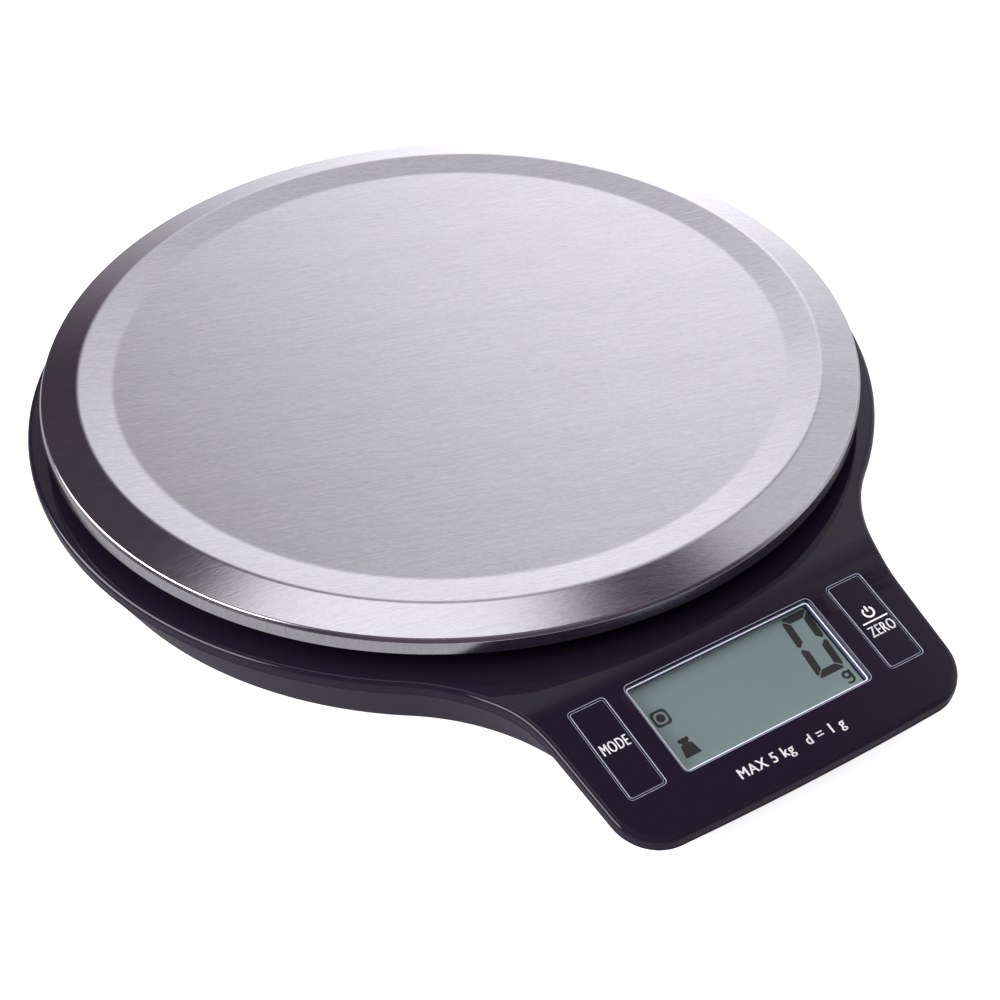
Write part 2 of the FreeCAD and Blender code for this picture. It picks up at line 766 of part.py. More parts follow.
def wire_path(route):
    """Straight runs joined by arcs as large as the shorter run beside each turn allows."""
    edges = []
    last = route[0]
    for before, corner, after in zip(route, route[1:], route[2:]):
        arrive, leave = toward(before, corner), toward(corner, after)
        trim = 0.45 * min((corner - before).Length, (after - corner).Length)
        start, end = corner - arrive * trim, corner + leave * trim
        turn = arrive.getAngle(leave)
        radius = trim / math.tan(turn / 2)
        middle = corner + (leave - arrive).normalize() * (radius / math.cos(turn / 2) - radius)
        edges.append(Part.LineSegment(last, start).toShape())
        edges.append(Part.Arc(start, middle, end).toShape())
        last = end
    edges.append(Part.LineSegment(last, route[-1]).toShape())
    return Part.Wire(edges)


def wire(route):
    """Round insulated wire along a route."""
    path = wire_path(route)
    section = Part.Wire(Part.makeCircle(wire_radius, route[0], route[1] - route[0]))
    return path.makePipeShell([section], True, False)


def board_end(x):
    """Last two points of a wire's route: straight into the board's rear edge."""
    mid_w = board_top_w - board_gauge / 2
    return [panel_point(x, board_rear_v + board_lead, mid_w), panel_point(x, board_rear_v, mid_w)]


def cell_wire(index):
    """Wire from the strain gauges over the battery compartment to the board."""
    x = (index - (wire_count - 1) / 2) * wire_pitch
    near, over, low = wire_bend_y
    route = [V(x, -gauge_cover.y / 2, wire_start_z), V(x, near, wire_start_z),
             V(x * wire_fan[0], over, wire_low_z + wire_rise), V(x * wire_fan[1], low, wire_low_z)]
    return wire(route + board_end(x * wire_fan[2]))


def battery_wire(side):
    """Wire from a contact's tab to the board."""
    x = side * coin_x
    start = V(x, contact_y - contact_gauge / 2, contact_top_z - tab_depth)
    bend = start + tab_lead
    climb = bend + tab_climb
    return wire([start, bend, V(x * wire_fan[0], climb.y, climb.z)] + board_end(x * wire_fan[1]))


def main():
    os.makedirs("parts", exist_ok=True)
    save("upper_housing", upper_housing())
    save("lower_housing", lower_housing())
    save("platform_pan", platform_pan())
    save("platform_tray", platform_tray())
    save("adhesive_pads", adhesive_pads())
    save("load_cell", load_cell())
    save("strain_gauge_covers", gauge_covers())
    save("load_cell_spacer", load_cell_spacer())
    seat_z = cell_head_z + cell_head_height
    save("load_cell_screws", Part.makeCompound(
        [machine_screw(-x, seat_z, cell_z + cell_tap_depth - tip_gap) for x in cell_screw_x]))
    save("platform_screws", Part.makeCompound(
        [machine_screw(x, tray_head_z, cell_top_z - cell_tap_depth + tip_gap) for x in cell_screw_x]))
    save("display_window", in_panel(display_window()))
    save("display_glass", in_panel(display_glass()))
    save("display_frame", in_panel(display_frame()))
    save("connector_strip", in_panel(connector_strip()))
    save("circuit_board", in_panel(circuit_board()))
    save("board_screws", in_panel(board_screws()))
    save("processor_blob", in_panel(processor_blob()))
    save("board_parts", in_panel(board_parts()))
    for name, side in (("mode", -1), ("zero", 1)):
        save(f"{name}_button_cap", in_panel(button_cap(side)))
        save(f"{name}_switch_base", in_panel(switch_base(side)))
        save(f"{name}_switch_plunger", in_panel(switch_plunger(side)))
    save("battery_door", battery_door())
    save("battery_door_foam", block(foam_size, compartment, base_z + door_size.z))
    save("coin_cell_left", coin_cell(-1))
    save("coin_cell_right", coin_cell(1))
    save("battery_contact_negative", side_contact(-1))
    save("battery_contact_positive", side_contact(1))
    save("battery_contact_bridge", bridge_contact())
    save("battery_wire_black", battery_wire(-1))
    save("battery_wire_red", battery_wire(1))
    for index, colour in enumerate(("red", "black", "green", "white")):
        save(f"load_cell_wire_{colour}", cell_wire(index))
    for name, place in foot_places.items():
        save(f"foot_{name}", foot(place))
    save("housing_screws", Part.makeCompound([housing_screw(p) for p in screw_places]))


main()
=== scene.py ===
import math

import bmesh
import bpy
import numpy as np
from bpy.props import FloatProperty, FloatVectorProperty, PointerProperty
from mathutils import Matrix, Vector


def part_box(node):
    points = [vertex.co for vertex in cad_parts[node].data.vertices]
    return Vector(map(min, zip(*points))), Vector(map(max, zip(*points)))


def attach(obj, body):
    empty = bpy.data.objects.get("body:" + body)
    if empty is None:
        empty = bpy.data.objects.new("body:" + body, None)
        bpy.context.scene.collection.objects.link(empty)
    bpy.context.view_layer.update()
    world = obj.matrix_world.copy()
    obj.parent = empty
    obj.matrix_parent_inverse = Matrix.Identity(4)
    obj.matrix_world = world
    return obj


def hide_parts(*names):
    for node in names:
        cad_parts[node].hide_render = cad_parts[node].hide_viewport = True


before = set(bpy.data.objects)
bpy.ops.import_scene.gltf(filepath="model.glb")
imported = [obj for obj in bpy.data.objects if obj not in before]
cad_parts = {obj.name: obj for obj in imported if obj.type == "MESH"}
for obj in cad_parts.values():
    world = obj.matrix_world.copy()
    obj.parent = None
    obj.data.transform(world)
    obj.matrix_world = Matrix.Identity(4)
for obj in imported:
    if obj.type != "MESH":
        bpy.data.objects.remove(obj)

bl_info = {
    "name": "Kitchen Scale Looks",
    "version": (1, 0, 0),
    "blender": (4, 5, 0),
    "location": "View3D > Sidebar > Kitchen Scale",
    "description": "Builds the visible pieces of a digital kitchen scale round its packed frame",
    "category": "Object",
}

MM = 0.001
SHARP = math.radians(32)
SURFACE_TURN = math.radians(9)
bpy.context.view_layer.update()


def middle(node):
    """Middle of a CAD node's box."""
    low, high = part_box(node)
    return (low + high) / 2


# ---- Places taken from the frame ----

AXIS_Y = middle("platform_pan").y
RING_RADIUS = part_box("upper_housing")[1].x
FRONT_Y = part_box("upper_housing")[0].y - AXIS_Y
TOP_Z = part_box("upper_housing")[1].z
BASE_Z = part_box("lower_housing")[0].z
CREASE_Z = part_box("platform_pan")[1].z
RIM_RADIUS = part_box("platform_pan")[1].x
RIM_BOTTOM_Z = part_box("platform_pan")[0].z


FEET = ("front_left", "front_right", "rear_left", "rear_right")
HOUSING_HEAD, HOUSING_HEAD_HEIGHT = 2.8 * MM, 2.0 * MM
CELL_HEAD, CELL_HEAD_HEIGHT = 3.5 * MM, 1.9 * MM
BELOW = -MM


# ---- Settings ----

def length(name, description, millimetres):
    """A size that a user can change."""
    return FloatProperty(name=name, description=description, default=millimetres * MM, unit="LENGTH",
                         precision=5)


def angle(name, description, degrees):
    """A direction or slope that a user can change."""
    return FloatProperty(name=name, description=description, default=math.radians(degrees), unit="ROTATION")


def colour(name, description, default):
    """A linear colour that a user can change."""
    return FloatVectorProperty(name=name, description=description, default=default, subtype="COLOR",
                               min=0.0, max=1.0)


def amount(name, description, default):
    """A plain number that a user can change."""
    return FloatProperty(name=name, description=description, default=default)


class ScaleBodySettings(bpy.types.PropertyGroup):
    """Sizes of the two housings."""

    flare: length("Neck flare", "Radius of the hollow curve from the ring into the panel", 43.0)
    half_width: length("Panel half width", "Half the width at the front edge", 41.8)
    taper: angle("Panel taper", "How much each side leans in towards the front", 3.5)
    corner: length("Front corners", "Radius of the two front corners", 10.5)
    bow: length("Front bow", "Radius of the slightly bowed front edge", 900.0)
    slope: angle("Panel slope", "Slope of the display panel", 15.0)
    turn_y: length("Panel start", "Where the panel's plane meets the flat top", -95.5)
    turn_radius: length("Turn radius", "Rounding between flat top and panel", 30.0)
    edge: length("Top edge", "Rounding of the upper housing's top edge", 1.1)
    skirt: length("Skirt", "Height of the upper housing's edge", 2.1)
    lip: length("Lip", "Height of the lower housing's upright lip", 1.1)
    lip_inset: length("Lip inset", "How far the lip stands back", 0.3)
    shell_inset: length("Shell inset", "How far the sloping wall starts inside the outline", 0.5)
    knee_inset: length("Knee inset", "Foot of the sloping wall", 8.3)
    knee: length("Knee height", "Height of the knee above the underside", 0.8)
    sole_inset: length("Sole inset", "Edge of the flat underside", 10.2)
    wall: length("Wall", "Thickness of the housings", 2.0)


class ScalePlatformSettings(bpy.types.PropertyGroup):
    """Sizes of the pressed platform."""

    disc: length("Disc", "Radius of the flat disc", 75.1)
    disc_drop: length("Disc depth", "Depth of the disc below the crease", 0.7)
    crease: length("Crease", "Radius of the raised crease", 82.9)
    bevel_drop: length("Bevel fall", "Fall of the outer bevel", 2.45)
    rim_roll: length("Rim roll", "Rounding between bevel and rim", 0.9)
    gauge: length("Sheet", "Thickness of the pressed sheet", 0.6)


class ScalePanelSettings(bpy.types.PropertyGroup):
    """Sizes and places on the sloping panel."""

    middle_v: length("Window middle", "Middle of window and buttons, down the slope", -15.3)
    window_width: length("Window width", "Width of the window's pocket", 46.2)
    window_length: length("Window length", "Length of the window's pocket", 22.0)
    window_edge: length("Window edge", "Rounding of the pocket's edge", 0.45)
    recess: length("Window recess", "Depth of the clear window", 0.7)
    lens: length("Window thickness", "Thickness of the clear window", 1.0)
    view_width: length("View width", "Width of the visible display", 45.0)
    view_length: length("View length", "Length of the visible display", 21.4)
    button_x: length("Button place", "Middle of each button from the centre line", 32.45)
    button_width: length("Button width", "Width of a button's opening", 8.7)
    button_length: length("Button length", "Length of a button's opening", 22.5)
    button_gap: length("Button gap", "Gap round a button", 0.18)
    ink: length("Print", "Thickness of printed marks", 0.03)
    # Width of the painted highlight laid along the panel's moulded edges.
    line: length("Edge line", "Width of the pale line along the panel's moulded edges", 0.17)


class ScaleFinishSettings(bpy.types.PropertyGroup):
    """Colours and grain."""

    gloss: colour("Gloss body", "Upper housing and buttons", (0.0120, 0.0085, 0.0180))
    satin: colour("Satin shell", "Lower housing", (0.0215, 0.0175, 0.0285))
    steel: colour("Steel", "Brushed platform", (0.60, 0.59, 0.62))
    window_side: colour("Window side", "Side of the clear window", (0.10, 0.12, 0.20))
    # Colour of the painted highlight on the clear window's cut edges.
    painted_cut_glint: colour("Window cut", "Cut edges of the clear window", (0.80, 0.84, 0.95))
    glass: colour("Display", "Background of the display", (0.205, 0.255, 0.262))
    segment: colour("Segments", "Dark segments of the display", (0.022, 0.019, 0.020))
    legend: colour("Legends", "Printed letters", (0.92, 0.92, 0.94))
    rubber: colour("Rubber", "Feet", (0.030, 0.030, 0.032))
    # Colour of the painted highlight laid along the panel's moulded edges, in place of light caught by
    # their fillets.
    painted_edge_highlight: colour("Edge lines", "Pale line along moulded edges", (0.26, 0.28, 0.36))
    grain: angle("Grain", "Direction of the steel's brushed lines", -18.5)


class ScaleStageSettings(bpy.types.PropertyGroup):
    """Camera, light and floor."""

    azimuth: angle("Azimuth", "Bearing of the camera", -32.447)
    elevation: angle("Elevation", "Height of the camera above the horizon", 39.773)
    roll: angle("Roll", "Turn of the camera about its own axis", -1.681)
    distance: length("Distance", "From the platform's middle to the camera", 605.61)
    aside: length("Aside", "Camera's step to its right", 11.327)
    upward: length("Upward", "Camera's step along its own up direction", -32.154)
    target_z: length("Target height", "Height that the camera is aimed from", 31.4)
    lens_mm: amount("Lens", "Focal length in millimetres on a 36 mm sensor", 97.5)
    sky: amount("Sky", "Strength of the soft surround", 1.0)
    key: amount("Key light", "Brightness of the long box to the left", 10.0)
    floor: colour("Floor", "Pale floor", (0.75, 0.75, 0.76))
    floor_glow: amount("Floor glow", "Light given by the floor itself", 0.85)
    fill: amount("Fill light", "Power in watts of the broad light above, which does not show in gloss", 8.0)


class ScaleSettings(bpy.types.PropertyGroup):
    """All the settings of the scale, by group."""

    body: PointerProperty(type=ScaleBodySettings)
    platform: PointerProperty(type=ScalePlatformSettings)
    panel: PointerProperty(type=ScalePanelSettings)
    finish: PointerProperty(type=ScaleFinishSettings)
    stage: PointerProperty(type=ScaleStageSettings)


def settings():
    """The scale's settings in this scene."""
    return bpy.context.scene.kitchen_scale


# ---- Shapes as arrays ----

def unit(vectors):
    """Vectors brought to length one."""
    return vectors / np.linalg.norm(vectors, axis=-1, keepdims=True)


def bearing(radians):
    """Unit vectors (cos, sin) of angles."""
    return np.stack([np.cos(radians), np.sin(radians)], -1)


def rounded(corners, radii, steps=6):
    """Profile with rounded corners: each corner becomes an arc that touches the runs on both sides.

    A corner is a pair of numbers, or one pair for every place along the profile's path.
    The arc turns evenly from one touching direction to the other about its centre.
    """
    corners = np.array(np.broadcast_arrays(*[np.asarray(c, float) for c in corners]))
    if corners.ndim == 2:
        corners = corners[:, None]
    share = np.linspace(0, 1, steps + 1)[:, None, None]
    runs = [corners[:1]]
    for before, corner, after, radius in zip(corners, corners[1:], corners[2:], radii):
        if radius == 0:
            runs.append(corner[None])
            continue
        arrive, leave = unit(corner - before), unit(after - corner)
        turn = np.arccos(np.clip((arrive * leave).sum(-1, keepdims=True), -1, 1))
        trim = radius * np.tan(turn / 2)
        centre = corner + unit(leave - arrive) * radius / np.cos(turn / 2)
        first, last = corner - arrive * trim - centre, corner + leave * trim - centre
        swing = (np.sin((1 - share) * turn) * first + np.sin(share * turn) * last) / np.sin(turn)
        runs.append(centre + swing)
    runs.append(corners[-1:])
    return np.concatenate(runs)


def round_rectangle(width, depth, radius, steps=8):
    """Plan and outward directions: a quarter circle at each corner, joined by straight sides."""
    quarter = np.linspace(0, math.pi / 2, steps + 1)
    angles = (np.arange(4)[:, None] * math.pi / 2 + quarter).ravel()
    out = bearing(angles)
    signs = np.repeat(np.array([(1, 1), (-1, 1), (-1, -1), (1, -1)]), steps + 1, axis=0)
    centres = signs * np.array([width / 2 - radius, depth / 2 - radius])
    return centres + out * radius, out


def circle(radius, steps=48):
    """Plan and outward directions of a circle."""
    out = bearing(np.linspace(0, 2 * math.pi, steps, endpoint=False))
    return out * radius, out


def band_quads(levels, around):
    """Quads between closed loops that follow each other."""
    here = np.arange(levels - 1)[:, None] * around + np.arange(around)
    beside = np.arange(levels - 1)[:, None] * around + (np.arange(around) + 1) % around
    return np.stack([here, beside, beside + around, here + around], -1).reshape(-1, 4).tolist()


def stacked(plan, out, profile):
    """Closed solid from loops: the plan moved outwards by each offset and up to each height."""
    profile = np.asarray(profile, float).reshape(-1, 2)
    around = len(plan)
    flat = plan[None] + out[None] * profile[:, 0, None, None]
    heights = np.broadcast_to(profile[:, 1, None, None], flat.shape[:2] + (1,))
    points = np.concatenate([flat, heights], -1).reshape(-1, 3)
    first = list(range(around))[::-1]
    last = list(range(len(points) - around, len(points)))
    return points, band_quads(len(profile), around) + [first, last]


def flat_solid(plan, low, high):
    """Closed solid with upright sides over a closed plan of points."""
    plan = np.asarray(plan, float)
    return stacked(plan, np.zeros_like(plan), [(0, low), (0, high)])


def turned(profile, steps=256):
    """Surface of revolution: each (radius, height) carried once round the upright axis."""
    profile = np.asarray(profile, float).reshape(-1, 2)
    out = bearing(np.linspace(0, 2 * math.pi, steps, endpoint=False))
    flat = profile[:, 0, None, None] * out[None]
    heights = np.broadcast_to(profile[:, 1, None, None], flat.shape[:2] + (1,))
    points = np.concatenate([flat, heights], -1).reshape(-1, 3)
    return points, band_quads(len(profile), steps)


def along_x(profile, start, end):
    """Closed solid: a closed (y, z) profile drawn out from one x to another."""
    profile = np.asarray(profile, float).reshape(-1, 2)
    around = len(profile)
    ends = [np.column_stack([np.full(around, x), profile]) for x in (start, end)]
    caps = [list(range(around))[::-1], list(range(around, 2 * around))]
    return np.concatenate(ends), band_quads(2, around) + caps


def joined(*solids):
    """Several solids as one list of points and faces."""
    points, faces, start = [], [], 0
    for solid_points, solid_faces in solids:
        points.append(solid_points)
        faces += [[start + i for i in face] for face in solid_faces]
        start += len(solid_points)
    return np.concatenate(points), faces


def moved(solid, x, y, z=0.0):
    """The same solid in another place."""
    points, faces = solid
    return points + np.array([x, y, z]), faces


def on_axis(solid):
    """From the platform's axis to the row's frame."""
    return moved(solid, 0, AXIS_Y)


def on_panel(solid):
    """From the panel's frame (across, up the slope, out of it) to the row's frame."""
    body = settings().body
    points, faces = solid
    x, v, w = points.T
    cosine, sine = math.cos(body.slope), math.sin(body.slope)
    y = AXIS_Y + body.turn_y + v * cosine - w * sine
    return np.column_stack([x, y, TOP_Z + v * sine + w * cosine]), faces


# ---- The body's outline ----

class Outline:
    """Plan of the body with its outward directions, clockwise from the middle of the back.

    The right half is a ring arc, a hollow flare, a straight side, a corner and half the bowed
    front. Each is a circle or a line, so the outline moved inwards is plan minus inset times out.
    """

    def __init__(self, body):
        side_out = bearing(-body.taper)
        side_back = bearing(math.pi / 2 - body.taper)
        foot = np.array([body.half_width, FRONT_Y])
        bow = np.array([0, FRONT_Y + body.bow])

        def beside(offset, pole, reach):
            """Centre of an arc that touches the side line and lies at reach from pole."""
            start = foot + side_out * offset
            along = (start - pole) @ side_back
            rest = (start - pole) @ (start - pole) - reach ** 2
            return start + side_back * (-along - math.sqrt(along ** 2 - rest))

        flare = beside(body.flare, np.zeros(2), RING_RADIUS + body.flare)
        corner = beside(-body.corner, bow, body.bow - body.corner)
        neck = math.atan2(flare[1], flare[0])
        front = math.atan2(corner[1] - bow[1], corner[0])
        quarter = math.pi / 2
        stretches = [
            self.arc(np.zeros(2), RING_RADIUS, quarter, neck, 150),
            self.arc(flare, -body.flare, neck + math.pi, math.pi - body.taper, 90),
            self.arc(corner, body.corner, -body.taper, front, 24),
            self.arc(bow, body.bow, front, -quarter, 12),
        ]
        half, out = [np.concatenate(part) for part in zip(*stretches)]
        half[0, 0] = half[-1, 0] = 0
        keep = np.append(True, np.linalg.norm(np.diff(half, axis=0), axis=1) > 1e-9)
        half, out = half[keep], out[keep]
        mirror = np.array([-1, 1])
        self.plan = np.concatenate([half, half[-2:0:-1] * mirror])
        self.out = np.concatenate([out, out[-2:0:-1] * mirror])

    @staticmethod
    def arc(centre, radius, start, end, steps):
        """Circle points between two bearings; a negative radius is a hollow arc."""
        out = bearing(np.linspace(start, end, steps))
        return centre + out * abs(radius), out * math.copysign(1, radius)

    def moved_in(self, insets):
        """Loops at insets, one row of points for each."""
        return self.plan - self.out * np.asarray(insets)[..., None]

    def skin(self, insets, heights):
        """Loops at insets whose heights are numbers or one value for each point."""
        flat = self.moved_in(insets)
        heights = np.broadcast_to(heights, flat.shape[:2])[..., None]
        return np.concatenate([flat, heights], -1)

    def closed(self, loops):
        """Solid from loops, with its first and last closed straight across."""
        levels, around = loops.shape[:2]
        half = around // 2
        row = np.arange(1, half - 1)
        across = np.column_stack([row, around - row, around - row - 1, row + 1])
        tips = np.array([[0, around - 1, 1], [half, half - 1, half + 1]])
        top = (levels - 1) * around
        faces = band_quads(levels, around)
        faces += across[:, ::-1].tolist() + tips.tolist()
        faces += (across + top).tolist() + (tips[:, ::-1] + top).tolist()
        return loops.reshape(-1, 3), faces


def top_height(y):
    """Height of the top at distances along Y: level, then a round turn, then the panel's slope."""
    body = settings().body
    start = body.turn_y + body.turn_radius * math.tan(body.slope / 2)
    end = start - body.turn_radius * math.sin(body.slope)
    inside = np.clip(start - y, 0, start - end)
    turn = body.turn_radius - np.sqrt(body.turn_radius ** 2 - inside ** 2)
    panel = TOP_Z + (y - body.turn_y) * math.tan(body.slope)
    return np.where(y < end, panel, TOP_Z - turn)


# ---- Meshes and pieces ----

def new_mesh(name, solid, sharp=SHARP):
    """Mesh with shared points joined, faces outward and edges sharper than an angle left crisp."""
    points, faces = solid
    mesh = bpy.data.meshes.new(name)
    mesh.from_pydata(points.tolist(), [], faces)
    work = bmesh.new()
    work.from_mesh(mesh)
    bmesh.ops.remove_doubles(work, verts=work.verts, dist=1e-7)
    bmesh.ops.recalc_face_normals(work, faces=work.faces)
    work.to_mesh(mesh)
    work.free()
    smooth(mesh, sharp)
    return mesh


def smooth(mesh, sharp=SHARP):
    """Smooth shading, with edges sharper than an angle left crisp."""
    mesh.shade_smooth()
    mesh.set_sharp_from_angle(angle=sharp)


def linked(name, mesh):
    """A new object in the scene."""
    piece = bpy.data.objects.new(name, mesh)
    bpy.context.scene.collection.objects.link(piece)
    return piece


def combined(name, solid, steps, sharp=SHARP):
    """Mesh of a solid after others are joined to it or cut from it, in order."""
    piece = linked(name, new_mesh(name, solid))
    helpers = []
    for number, (operation, other) in enumerate(steps):
        helper = linked(f"{name}_{number}", new_mesh(f"{name}_{number}", other))
        helpers.append(helper)
        modifier = piece.modifiers.new(helper.name, "BOOLEAN")
        modifier.operation = operation
        modifier.solver = "EXACT"
        modifier.object = helper
    shape = piece.evaluated_get(bpy.context.evaluated_depsgraph_get())
    mesh = bpy.data.meshes.new_from_object(shape)
    mesh.name = name
    for thing in [piece] + helpers:
        old = thing.data
        bpy.data.objects.remove(thing)
        bpy.data.meshes.remove(old)
    smooth(mesh, sharp)
    return mesh


def add_piece(name, mesh, finish, body, replaces=(), weighted=False):
    """Puts a finished mesh in the scene, on its body and in place of its CAD nodes."""
    if isinstance(mesh, tuple):
        mesh = new_mesh(name, mesh)
    mesh.materials.clear()
    mesh.materials.append(finish)
    piece = linked(name, mesh)
    if weighted:
        modifier = piece.modifiers.new("even_shading", "WEIGHTED_NORMAL")
        modifier.keep_sharp = True
        modifier.weight = 100
    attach(piece, body)
    if replaces:
        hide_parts(*replaces)
    return piece


# ---- Materials ----

class Wire:
    """A node's output that can stand in sums and products of values."""

    def __init__(self, tree, socket):
        self.tree = tree
        self.socket = socket

    def worked(self, operation, *values):
        """The outcome of a Math node on values."""
        return self.tree.put("ShaderNodeMath", 0, {"operation": operation}, dict(enumerate(values)))

    def __add__(self, other):
        return self.worked("ADD", self, other)

    def __radd__(self, other):
        return self.worked("ADD", other, self)

    def __sub__(self, other):
        return self.worked("SUBTRACT", self, other)

    def __rsub__(self, other):
        return self.worked("SUBTRACT", other, self)

    def __mul__(self, other):
        return self.worked("MULTIPLY", self, other)

    def __rmul__(self, other):
        return self.worked("MULTIPLY", other, self)

    def __pow__(self, other):
        return self.worked("POWER", self, other)

    def soft(self, start, end):
        """0 before start, 1 past end, with an even S between them."""
        return self.tree.put("ShaderNodeMapRange", 0, {"interpolation_type": "SMOOTHSTEP"},
                             {"Value": self, "From Min": start, "From Max": end})

    def parts(self):
        """The three numbers of a vector."""
        return [self.tree.put("ShaderNodeSeparateXYZ", axis, {}, {0: self}) for axis in "XYZ"]

    def size(self):
        """The value without its sign."""
        return self.worked("ABSOLUTE", self)

    def least(self, other):
        """The smaller of two values."""
        return self.worked("MINIMUM", self, other)

    def most(self, other):
        """The larger of two values."""
        return self.worked("MAXIMUM", self, other)


class Nodes:
    """A node tree, built up node by node."""

    def __init__(self, tree):
        self.tree = tree
        tree.nodes.clear()

    def feed(self, socket, value):
        """Sets a socket to a number or a colour, or links it."""
        if isinstance(value, Wire):
            self.tree.links.new(value.socket, socket)
        elif socket.type == "RGBA":
            socket.default_value = (*value, 1.0)
        else:
            socket.default_value = value

    def put(self, kind, output, own, inputs):
        """Adds a node: its own settings first, then its inputs by name or number. Gives one output."""
        node = self.tree.nodes.new(kind)
        for name, value in own.items():
            setattr(node, name, value)
        for name, value in inputs.items():
            self.feed(node.inputs[name], value)
        return Wire(self, node.outputs[output])

    def place(self, turn=0.0, stretch=(1.0, 1.0, 1.0), centre=(0.0, 0.0, 0.0)):
        """Object coordinates moved to a centre, turned about Z and stretched."""
        raw = self.put("ShaderNodeTexCoord", "Object", {}, {})
        shifted = self.put("ShaderNodeVectorMath", 0, {"operation": "SUBTRACT"}, {0: raw, 1: centre})
        spun = self.put("ShaderNodeVectorRotate", 0, {"rotation_type": "Z_AXIS"},
                        {"Vector": shifted, "Angle": turn})
        return self.put("ShaderNodeVectorMath", 0, {"operation": "MULTIPLY"}, {0: spun, 1: stretch})

    def noise(self, vector, scale, detail=3.0, rough=0.55):
        """Soft cloudy values round 0.5."""
        return self.put("ShaderNodeTexNoise", 0, {},
                        {"Vector": vector, "Scale": scale, "Detail": detail, "Roughness": rough})

    def blend(self, factor, first, second):
        """Colour between two colours."""
        return self.put("ShaderNodeMix", 2, {"data_type": "RGBA"}, {0: factor, 6: first, 7: second})

    def bump(self, height, depth, strength=1.0):
        """A surface direction tilted by a height."""
        return self.put("ShaderNodeBump", 0, {},
                        {"Height": height, "Distance": depth, "Strength": strength})


class Finish(Nodes):
    """A material with one Principled shader."""

    def __init__(self, name, base, roughness, **constants):
        self.material = bpy.data.materials.new(name)
        self.material.use_nodes = True
        super().__init__(self.material.node_tree)
        self.shader = self.tree.nodes.new("ShaderNodeBsdfPrincipled")
        self.end = self.tree.nodes.new("ShaderNodeOutputMaterial")
        self.tree.links.new(self.shader.outputs[0], self.end.inputs[0])
        self.set(base_color=base, roughness=roughness, **constants)
        self.material.diffuse_color = (*base, 1.0)

    def set(self, **inputs):
        """Sets or links the shader's inputs, named in small letters."""
        for words, value in inputs.items():
            name = words.replace("_", " ").title().replace("Ior", "IOR")
            self.feed(self.shader.inputs[name], value)


    def painted_highlight_mask(self, middle_x, width, length, corner):
        """Mask of a painted edge highlight: 1 on the outline of a rounded rectangle drawn on the panel, 0
        away from it.
        """
        body, panel = settings().body, settings().panel
        start = (middle_x, AXIS_Y + body.turn_y, TOP_Z)
        x, y, z = self.place(centre=start).parts()
        along = y * math.cos(body.slope) + z * math.sin(body.slope) - panel.middle_v
        over_x = x.size() - (width / 2 - corner)
        over_v = along.size() - (length / 2 - corner)
        past = (over_x.most(0.0) ** 2.0 + over_v.most(0.0) ** 2.0) ** 0.5
        off = past + over_x.most(over_v).least(0.0) - corner
        return 1.0 - off.size().soft(panel.line * 0.3, panel.line * 0.7)


def shade_of(base, factor):
    """A colour made lighter or darker."""
    return tuple(min(1.0, c * factor) for c in base)


def gloss_plastic(name, base, polish=0.04, shine=0.28, lines=()):
    """Polished moulded plastic: faint long waves in the surface and a little uneven polish.

    Each line is a rounded rectangle on the panel (middle across, width, length, corner) along which
    a pale painted highlight is laid on the moulded edge, in place of the light the edge catches.
    """
    finish = Finish(name, base, polish, specular_ior_level=shine)
    place = finish.place()
    waves = finish.noise(place, 45.0, 1.0)
    dust = finish.noise(place, 700.0, 4.0)
    plain = finish.blend(dust, shade_of(base, 0.9), shade_of(base, 1.12))
    # Each line blends a pale painted highlight into the base colour along a moulded edge.
    for line in lines:
        plain = finish.blend(finish.painted_highlight_mask(*line), plain, settings().finish.painted_edge_highlight)
    finish.set(
        base_color=plain,
        roughness=polish - 0.015 + dust * 0.03,
        normal=finish.bump(waves, 0.00005, 0.3))
    return finish.material


def satin_plastic(name, base, roughness=0.36, shine=0.5, grain_depth=0.000012):
    """Moulded plastic with a fine spark-eroded texture."""
    finish = Finish(name, base, roughness, specular_ior_level=shine)
    place = finish.place()
    grain = finish.noise(place, 2600.0, 2.0)
    cloud = finish.noise(place, 60.0, 3.0)
    finish.set(
        base_color=finish.blend(cloud, shade_of(base, 0.9), shade_of(base, 1.1)),
        roughness=roughness - 0.05 + grain * 0.1,
        normal=finish.bump(grain, grain_depth))
    return finish.material


def brushed_steel(name, base, turn, edge_z, roughness=0.17):
    """Sheet with straight brushed lines: long thin noise in three widths, in colour, gloss and height.

    The lines fade out below edge_z, where the sheet turns down into its rim.
    """
    finish = Finish(name, base, roughness, metallic=1.0)
    fine = finish.noise(finish.place(turn, (650.0, 3200.0, 650.0)), 1.0, 4.0, 0.7)
    broad = finish.noise(finish.place(turn, (120.0, 1500.0, 120.0)), 1.0, 3.0)
    cloud = finish.noise(finish.place(turn, (5.0, 70.0, 5.0)), 1.0, 2.0)
    height = finish.place().parts()[2]
    top = height.soft(edge_z - 0.0008, edge_z)
    mixed = fine * 0.6 + broad * 0.25 + cloud * 0.15
    finish.set(
        base_color=finish.blend(mixed, shade_of(base, 0.66), shade_of(base, 1.34)),
        roughness=roughness - 0.06 + mixed * 0.12,
        normal=finish.bump((fine * 0.7 + broad * 0.3) * top, 0.000035, 0.5))
    return finish.material


def bright_metal(name, base, roughness=0.28):
    """Plated or milled metal with fine scratches."""
    finish = Finish(name, base, roughness, metallic=1.0)
    scratch = finish.noise(finish.place(0.4, (300.0, 2500.0, 900.0)), 1.0, 3.0)
    finish.set(
        base_color=finish.blend(scratch, shade_of(base, 0.92), shade_of(base, 1.06)),
        roughness=roughness - 0.07 + scratch * 0.16,
        normal=finish.bump(scratch, 0.000006))
    return finish.material


